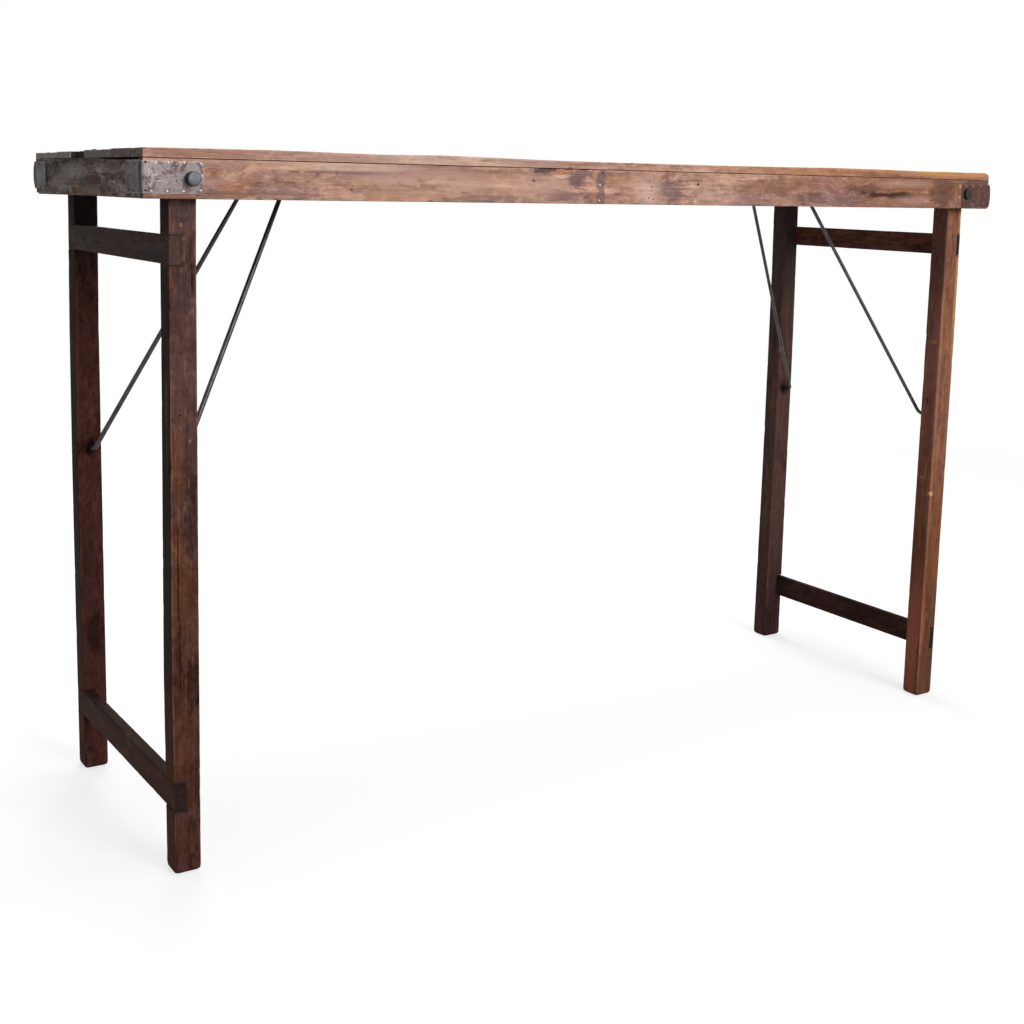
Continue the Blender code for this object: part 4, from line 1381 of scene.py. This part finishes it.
def build_strap(side_name, face_name, material):
    """A strip hammered round a corner, bulging where it bends, with rounded free corners."""
    side, face = SIDES[side_name], FACES[face_name]
    node = f"strap_{side_name}_{face_name}"
    low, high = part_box(node)
    length, end_run, bend_run, along = strap_path(low, high)
    columns = round(length / STRAP_STEP)
    middle, half = (low.z + high.z) / 2, (high.z - low.z) / 2
    bm = bmesh.new()
    layer = bm.verts.layers.float_vector.new("wear_and_shade")
    sheets = ([], [])
    for column in range(columns + 1):
        distance = length * column / columns
        spot, out = along(distance)
        end_gap = min(distance, length - distance)
        cut = STRAP_CORNER - math.sqrt(max(0.0, STRAP_CORNER ** 2 - max(0.0, STRAP_CORNER - end_gap) ** 2))
        at_end = min(1.0, max(0.0, 1.0 - (distance - end_run) / bend_run))
        # Painted shade share in a band along the bend
        bend_shade = math.exp(-((distance - end_run + STRAP_SHADE / 2) / STRAP_SHADE) ** 2)
        for sheet, depth in zip(sheets, (0.0, STRAP_THICKNESS)):
            row = []
            for i in range(STRAP_ROWS + 1):
                v = 2 * i / STRAP_ROWS - 1
                z = middle + v * (half - cut)
                dent = STRAP_DENT * noise.noise(Vector((distance * 60 + 5 * side, z * 60, 3.0 * face)))
                bulge = strap_bulge(distance - end_run - bend_run / 2, v)
                place = spot + out * (bulge + dent - STRAP_TUCK * v ** 6 - depth)
                vert = bm.verts.new((side * place.x, face * place.y, z))
                rim = min(end_gap, (1 - abs(v)) * half)
                vert[layer] = (math.exp(-rim / STRAP_RIM), at_end, bend_shade * at_end)
                row.append(vert)
            sheet.append(row)
    close_sheets(bm, *sheets)
    finish_piece("worn_" + node, bm, material, "top", node)


# Studs round the straps' edges: (distance from the table's end, height over the pivot)
STUDS = {
    "left": [
        (0.018, 0.0214), (0.037, 0.0219), (0.0606, 0.0222), (0.0856, 0.0213), (0.0866, 0.0042),
        (0.0115, -0.0180), (0.035, -0.0180), (0.059, -0.0177), (0.0849, -0.0166),
    ],
    "right": [(0.0263, 0.0165), (0.0503, 0.0160), (0.0697, 0.0160), (0.0165, -0.0185), (0.0464, -0.0200)],
}
# Empty nail holes in the straps, as near-black discs of painted shade
STUD_HOLES = {"left": [(0.0037, 0.0219), (0.0028, -0.0168)], "right": [(0.0040, 0.0150)]}
END_STUDS = {
    "left": [(0.030, 0.0200), (0.058, 0.0190), (0.012, -0.0170), (0.036, -0.0180), (0.058, -0.0170)],
    "right": [
        (0.014, 0.0160), (0.034, 0.0155), (0.058, 0.0150),
        (0.014, -0.0210), (0.040, -0.0210), (0.058, -0.0200),
    ],
}
# Spots of the near left strap that are scraped bright: (centre, radii)
STRAP_MARKS = [
    ((-0.8640, -0.280, 1.0541), (0.014, 0.02, 0.0008)),
    ((-0.8725, -0.280, 1.0615), (0.012, 0.02, 0.0080)),
    ((-0.8290, -0.280, 1.0625), (0.018, 0.02, 0.0007)),
    ((-0.8760, -0.280, 1.0480), (0.008, 0.02, 0.0050)),
]
# Looks of the straps: steel, patina, share of patina, scratches, painted shade of the end part
STRAP_LOOKS = {
    ("left", "front"): (rgb(147, 136, 134), rgb(116, 93, 93), 0.45, 1.0, rgb(78, 76, 76)),
    ("left", "back"): (rgb(142, 141, 142), rgb(120, 114, 114), 0.40, 0.3, rgb(101, 100, 102)),
    ("right", "front"): (rgb(110, 83, 76), rgb(96, 66, 59), 0.75, 0.35, rgb(104, 84, 78)),
    ("right", "back"): (rgb(140, 130, 126), rgb(104, 82, 78), 0.55, 0.5, rgb(120, 110, 106)),
}
NAIL_PATINA = rgb(156, 146, 140)


def stud(place, out, radius=STUD_RADIUS, height=STUD_HEIGHT):
    """A small domed nail head that stands a little into what carries it."""
    dome = [(radius * math.cos(a), height * math.sin(a)) for a in (0.0, 0.5, 0.9, 1.25)]
    profile = [(0.0, -radius), (radius * 0.9, -radius), *dome, (0.0, height)]
    return turned(profile, place, out)


def strap_heads(side_name, face_name):
    """Makers of nail heads on a strap's long side and on its end part."""
    side, face = SIDES[side_name], FACES[face_name]
    low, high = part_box(f"strap_{side_name}_{face_name}")
    bolt_low, bolt_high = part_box(f"bolt_{side_name}_{face_name}")
    pivot_z = (bolt_low.z + bolt_high.z) / 2
    outer_x = furthest(low.x, high.x) - STUD_SINK
    outer_y = furthest(low.y, high.y) - STUD_SINK
    half_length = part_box("rail_front")[1].x
    bend_middle = outer_x - half_length - STRAP_BEND * (1 - math.pi / 4)

    def on_side(run, up, radius, height):
        share = (pivot_z + up - (low.z + high.z) / 2) / ((high.z - low.z) / 2)
        y = face * (outer_y + strap_bulge(run + bend_middle, min(1.0, abs(share))))
        return stud((side * (half_length - run), y, pivot_z + up), (0.0, face, 0.0), radius, height)

    def on_end(run, up):
        return stud((side * outer_x, face * (outer_y - run), pivot_z + up), (side, 0.0, 0.0))

    return on_side, on_end


def build_straps():
    bright = worn_steel("stud_steel", 8.0, rgb(216, 210, 206), NAIL_PATINA, 0.2, 0.6)
    dull = dark_steel("stud_iron", 4.0, rgb(70, 64, 62), 0.45, 0.2)
    grey = worn_steel("stud_grey", 8.0, rgb(150, 136, 128), rgb(112, 96, 90), 0.3, 0.3)
    hole_shade_finish = dark_steel("hole_shade", 9.0, rgb(20, 17, 17), 0.6, 0.0)
    for (side_name, face_name), look in STRAP_LOOKS.items():
        tag = f"{side_name}_{face_name}"
        seed = 5.0 + 2.0 * SIDES[side_name] + FACES[face_name]
        marks = STRAP_MARKS if tag == "left_front" else ()
        material = worn_steel(f"strap_{tag}_steel", seed, *look, marks)
        build_strap(side_name, face_name, material)
        on_side, on_end = strap_heads(side_name, face_name)
        stud_finish = bright if side_name == "left" else grey
        rows = {
            "studs": (stud_finish, STUDS, STUD_RADIUS, STUD_HEIGHT),
            "stud_hole_shades": (hole_shade_finish, STUD_HOLES, STUD_HOLE_RADIUS, STUD_HOLE_HEIGHT),
        }
        for kind, (finish, places, radius, height) in rows.items():
            heads = [on_side(run, up, radius, height) for run, up in places[side_name]]
            finish_piece(f"{kind}_{tag}", gather(heads), finish, "top")
        heads = [on_end(run, up) for run, up in END_STUDS[side_name]]
        finish_piece(f"end_studs_{tag}", gather(heads), dull, "top")


def bolt_profile(radius, inner, seat, outer, rim):
    """A bolt in outline, as (radius, distance out) pairs: shank, head and domed face."""
    profile = [(0.0, inner), (BOLT_SHANK - BOLT_CHAMFER, inner), (BOLT_SHANK, inner + BOLT_CHAMFER)]
    profile += [(BOLT_SHANK, seat), (radius * 0.96, seat), (radius, seat + 0.8 * MM), (radius, outer - rim)]
    for step in range(1, 6):
        angle = math.pi / 2 * step / 6
        out = outer - rim + rim * 0.85 * math.sin(angle)
        profile.append((radius * (0.70 + 0.30 * math.cos(angle)), out))
    return profile + [(radius * 0.3, outer - 0.2 * MM), (0.0, outer)]


def build_bolts(materials):
    for side_name in SIDES:
        for face_name, face in FACES.items():
            node = f"bolt_{side_name}_{face_name}"
            low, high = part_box(node)
            strap_low, strap_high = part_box(f"strap_{side_name}_{face_name}")
            seat = furthest(strap_low.y, strap_high.y) + SEAT
            outer = furthest(low.y, high.y)
            rim = min(BOLT_RIM, (outer - seat) * 0.5)
            profile = bolt_profile((high.x - low.x) / 2, nearest(low.y, high.y), seat, outer, rim)
            place = ((low.x + high.x) / 2, 0.0, (low.z + high.z) / 2)
            bm = turned(profile, place, (0.0, face, 0.0))
            layer = bm.verts.layers.float_vector.new("wear_and_shade")
            # Painted shade share: full on the head's side, fading across the rounded rim of its face
            for vert in bm.verts:
                flank_shade = (outer - 0.35 * rim - abs(vert.co.y)) / (0.55 * rim)
                vert[layer] = (0.0, min(1.0, max(0.0, flank_shade)), 0.0)
            finish_piece("worn_" + node, bm, materials[side_name], "top", node)


def rounded_path(points, radius, steps=8):
    """A path whose inner corners are arcs of one radius."""
    points = [Vector(p) for p in points]
    path = [points[0]]
    for before, corner, after in zip(points, points[1:], points[2:]):
        incoming, outgoing = (corner - before).normalized(), (after - corner).normalized()
        turn = incoming.angle(outgoing)
        start = corner - incoming * radius * math.tan(turn / 2)
        centre = corner + (outgoing - incoming).normalized() * radius / math.cos(turn / 2)
        axis = incoming.cross(outgoing).normalized()
        for step in range(steps + 1):
            path.append(centre + Matrix.Rotation(turn * step / steps, 3, axis) @ (start - centre))
    path.append(points[-1])
    return path


def swept(path, radius_at):
    """A rod along a path, a little uneven as hand-drawn rod is."""
    fine = []
    for first, second in zip(path, path[1:]):
        count = max(1, math.ceil((second - first).length / ROD_STEP))
        fine += [first.lerp(second, i / count) for i in range(count)]
    fine.append(path[-1])
    bm = bmesh.new()
    rings = []
    across = None
    angles = [2 * math.pi * k / ROD_SIDES for k in range(ROD_SIDES)]
    for i, point in enumerate(fine):
        along = (fine[min(i + 1, len(fine) - 1)] - fine[max(i - 1, 0)]).normalized()
        across = along.orthogonal() if across is None else across - along * across.dot(along)
        across.normalize()
        beside = along.cross(across)
        size = radius_at(point) * (1.0 + ROD_UNEVEN * noise.noise(point * 30.0))
        ways = [across * math.cos(a) + beside * math.sin(a) for a in angles]
        rings.append([bm.verts.new(point + way * size) for way in ways])
    for first, second in zip(rings, rings[1:]):
        for k in range(ROD_SIDES):
            bm.faces.new((first[k], first[(k + 1) % ROD_SIDES], second[(k + 1) % ROD_SIDES], second[k]))
    bm.faces.new(rings[0])
    bm.faces.new(rings[-1])
    bmesh.ops.recalc_face_normals(bm, faces=bm.faces)
    return bm


def build_stays(material):
    for side_name, side in SIDES.items():
        node = f"stay_{side_name}"
        low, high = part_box(node)
        leg_low, leg_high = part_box(f"leg_{side_name}_back")
        pivot = PIVOTS[f"{side_name}_stay_swing"]
        cad_radius = abs(pivot.x - (low.x if side < 0 else high.x))
        head_x = high.x - cad_radius if side < 0 else low.x + cad_radius
        half = [
            (pivot.x, high.y, pivot.z),
            (pivot.x, leg_low.y - STAY_FOOT_INSET, pivot.z),
            (head_x, STAY_HEAD_HALF_WIDTH, high.z - cad_radius),
        ]
        corners = [(x, -y, z) for x, y, z in half] + half[::-1]
        full, slim = ROD_RADIUS[side_name], ROD_FOOT_RADIUS
        head_y, foot_y = STAY_HEAD_HALF_WIDTH, leg_low.y - STAY_FOOT_INSET
        thickness = ((head_y, slim), (head_y + ROD_TAPER, full), (foot_y, full), (leg_low.y, slim))
        bm = swept(rounded_path(corners, ROD_BEND), lambda point: read_off(thickness, abs(point.y))[0])
        finish_piece("worn_" + node, bm, material, f"{side_name}_stay", node)


# Marks on the front rail's face: (x, z) of bright nails, (x, z, radius in mm) of dark discs of painted shade
# for empty nail holes
RAIL_NAILS = ((-0.0935, 1.0609), (-0.0935, 1.035), (0.1157, 1.0347))
RAIL_HOLES = (
    (-0.089, 1.0809, 2.0), (0.0213, 1.0713, 1.6), (0.0175, 1.0593, 1.6), (0.0156, 1.0525, 1.4),
    (0.0118, 1.0404, 1.6), (0.0206, 1.0388, 1.6), (0.1152, 1.0452, 1.8), (0.1198, 1.0653, 3.2),
)


def build_board_nails(iron):
    heads = []
    rows = [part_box(name) for name in ("rail_left", *BATTENS, "rail_right")]
    for node in PLANK_KNOTS:
        low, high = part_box(node)
        for row_low, row_high in rows:
            for share in BOARD_NAIL_SHARES:
                stray = BOARD_NAIL_STRAY * math.sin(37 * share + 11 * low.y + 5 * row_low.x)
                x = (row_low.x + row_high.x) / 2 + stray
                y = low.y + share * (high.y - low.y)
                heads.append(stud((x, y, high.z - 0.5 * MM), (0.0, 0.0, 1.0), *BOARD_NAIL))
    finish_piece("board_nails", gather(heads), iron, "top")


def build_rail_nails(iron, bright):
    face_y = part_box("rail_front")[0].y + 0.4 * MM
    out = (0.0, -1.0, 0.0)
    heads = [stud((x, face_y, z), out, *RAIL_NAIL) for x, z in RAIL_NAILS]
    finish_piece("rail_nails", gather(heads), bright, "top")
    # Dark iron discs as painted shade in the empty nail holes
    heads = [stud((x, face_y, z), out, radius * MM, RAIL_HOLE_HEIGHT) for x, z, radius in RAIL_HOLES]
    finish_piece("rail_nail_hole_shades", gather(heads), iron, "top")


def build_frame_nails(side_name, iron):
    """Two nails through each end of a stretcher into its post."""
    side = SIDES[side_name]
    heads = []
    for height_name in ("upper", "lower"):
        low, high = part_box(f"stretcher_{side_name}_{height_name}")
        outer = low.x if side < 0 else high.x
        for face_name in FACES:
            leg_low, leg_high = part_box(f"leg_{side_name}_{face_name}")
            for share in FRAME_NAIL_SHARES:
                y = (leg_low.y + leg_high.y) / 2 + FRAME_NAIL_SPREAD * (share - 0.5)
                place = (outer - side * 0.3 * MM, y, low.z + share * (high.z - low.z))
                heads.append(stud(place, (side, 0.0, 0.0), *FRAME_NAIL))
    finish_piece(f"frame_nails_{side_name}", gather(heads), iron, f"{side_name}_leg_frame")


def build_catch_screws(side_name, iron):
    side = SIDES[side_name]
    low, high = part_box(f"catch_{side_name}")
    underside = high.z - CATCH_THICKNESS + 0.2 * MM
    x = (high.x if side < 0 else low.x) + side * CATCH_SCREW_INSET
    heads = [stud((x, y, underside), (0.0, 0.0, -1.0), *CATCH_SCREW) for y in CATCH_SCREWS_Y]
    finish_piece(f"catch_screws_{side_name}", gather(heads), iron, "top")


def dress_cad_nodes(material):
    """Nuts, washers and catches keep their CAD shape with softened edges and a real finish."""
    for name, node in frame["nodes"].items():
        if not name.startswith(("nut", "washer", "catch")):
            continue
        for slot in node.material_slots:
            slot.material = material
        bevel = node.modifiers.new("edges", "BEVEL")
        bevel.width = CAD_EDGE_BEVEL
        bevel.segments = 2
        bevel.limit_method = "ANGLE"
        bevel.angle_limit = SHARP_ANGLE


# Stage, light and camera


def seen_rays(tree):
    """1 for rays from the camera and for those that metal and glass send on, else 0."""
    rays = tree.nodes.new("ShaderNodeLightPath")
    shown = rays.outputs["Is Camera Ray"]
    for kind in ("Is Glossy Ray", "Is Transmission Ray"):
        either = tree.nodes.new("ShaderNodeMath")
        either.operation = "MAXIMUM"
        tree.links.new(shown, either.inputs[0])
        tree.links.new(rays.outputs[kind], either.inputs[1])
        shown = either.outputs[0]
    return shown


def build_floor():
    bm = bmesh.new()
    bmesh.ops.create_grid(bm, x_segments=2, y_segments=2, size=FLOOR_HALF)
    bmesh.ops.translate(bm, verts=bm.verts, vec=(0.0, 0.0, -FLOOR_DROP))
    mesh = bpy.data.meshes.new("floor")
    bm.to_mesh(mesh)
    bm.free()
    g = Graph("floor_paper")
    far = g.band(g.vector("LENGTH", g.spot), *FLOOR_FADE)
    seen = seen_rays(g.tree)
    near_white = g.add("Emission", {"Color": WHITE, "Strength": FLOOR_GLOW}).outputs[0]
    paper = g.add("BsdfDiffuse", {"Color": FLOOR_PAPER}).outputs[0]
    lit = g.add("AddShader", {0: near_white, 1: paper}).outputs[0]
    white = g.add("Emission", {"Color": WHITE, "Strength": 1.0}).outputs[0]
    shown = g.add("MixShader", {0: far, 1: lit, 2: white}).outputs[0]
    hidden = g.add("BsdfDiffuse", {"Color": FLOOR_UNSEEN}).outputs[0]
    both = g.add("MixShader", {0: seen, 1: hidden, 2: shown}).outputs[0]
    g.tree.links.new(both, g.tree.nodes["Material Output"].inputs["Surface"])
    mesh.materials.append(g.material)
    floor = bpy.data.objects.new("floor", mesh)
    bpy.context.scene.collection.objects.link(floor)
    floor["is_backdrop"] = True


def build_world():
    world = bpy.data.worlds.new("studio")
    bpy.context.scene.world = world
    world.use_nodes = True
    tree = world.node_tree
    background = tree.nodes["Background"]
    background.inputs["Color"].default_value = (*WHITE, 1.0)
    strength = tree.nodes.new("ShaderNodeMapRange")
    strength.inputs["To Min"].default_value = SKY_UNSEEN
    strength.inputs["To Max"].default_value = SKY_SEEN
    tree.links.new(seen_rays(tree), strength.inputs["Value"])
    tree.links.new(strength.outputs[0], background.inputs["Strength"])


def area_light(name, place, target, size, power):
    data = bpy.data.lights.new(name, "AREA")
    data.shape = "DISK"
    data.size = size
    data.energy = power
    lamp = bpy.data.objects.new(name, data)
    lamp.location = place
    lamp.rotation_euler = (Vector(target) - Vector(place)).to_track_quat("-Z", "Y").to_euler()
    bpy.context.scene.collection.objects.link(lamp)


def build_camera():
    data = bpy.data.cameras.new("camera")
    data.sensor_width = SENSOR_MM
    data.sensor_fit = "HORIZONTAL"
    data.lens = CAMERA_FOCUS_PX / IMAGE_PX * SENSOR_MM
    data.shift_x = (IMAGE_PX / 2 - CAMERA_CENTRE_PX[0]) / IMAGE_PX
    data.shift_y = (CAMERA_CENTRE_PX[1] - IMAGE_PX / 2) / IMAGE_PX
    data.clip_end = CAMERA_FAR
    camera = bpy.data.objects.new("camera", data)
    forward = Vector((
        math.sin(CAMERA_YAW) * math.cos(CAMERA_PITCH),
        math.cos(CAMERA_YAW) * math.cos(CAMERA_PITCH),
        -math.sin(CAMERA_PITCH),
    ))
    level = Vector((math.cos(CAMERA_YAW), -math.sin(CAMERA_YAW), 0.0))
    rise = level.cross(forward)
    right = level * math.cos(CAMERA_ROLL) + rise * math.sin(CAMERA_ROLL)
    up = rise * math.cos(CAMERA_ROLL) - level * math.sin(CAMERA_ROLL)
    turn = Matrix((right, up, -forward)).transposed().to_4x4()
    camera.matrix_world = Matrix.Translation(CAMERA_PLACE) @ turn
    bpy.context.scene.collection.objects.link(camera)
    bpy.context.scene.camera = camera


bpy.context.scene.view_settings.view_transform = "Standard"
build_camera()
build_world()
build_floor()
for lamp_name, lamp in LAMPS.items():
    area_light(lamp_name, *lamp)

build_planks()
build_long_rails()
build_end_rails()
build_battens()
build_legs()
build_straps()
bolt_iron = dark_steel("bolt_iron", 2.0, rgb(94, 96, 101), 0.32)
dark_bolt_iron = dark_steel("dark_bolt_iron", 3.0, rgb(62, 58, 58), 0.36, 0.3)
rod_iron = dark_steel("rod_iron", 6.0, rgb(72, 68, 71), 0.22, 0.65)
nail_iron = dark_steel("nail_iron", 12.0, rgb(46, 40, 38), 0.5, 0.2)
nail_steel = worn_steel("nail_steel", 3.0, rgb(208, 204, 202), NAIL_PATINA, 0.2, 0.6)
build_bolts({"left": bolt_iron, "right": dark_bolt_iron})
build_stays(rod_iron)
build_board_nails(nail_iron)
build_rail_nails(nail_iron, nail_steel)
for side_name in SIDES:
    build_frame_nails(side_name, nail_iron)
    build_catch_screws(side_name, nail_iron)
dress_cad_nodes(bolt_iron)

sizes = {"cad": CAD_BOX, "visual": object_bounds()}
{name: [list(corner) for corner in box] for name, box in sizes.items()}
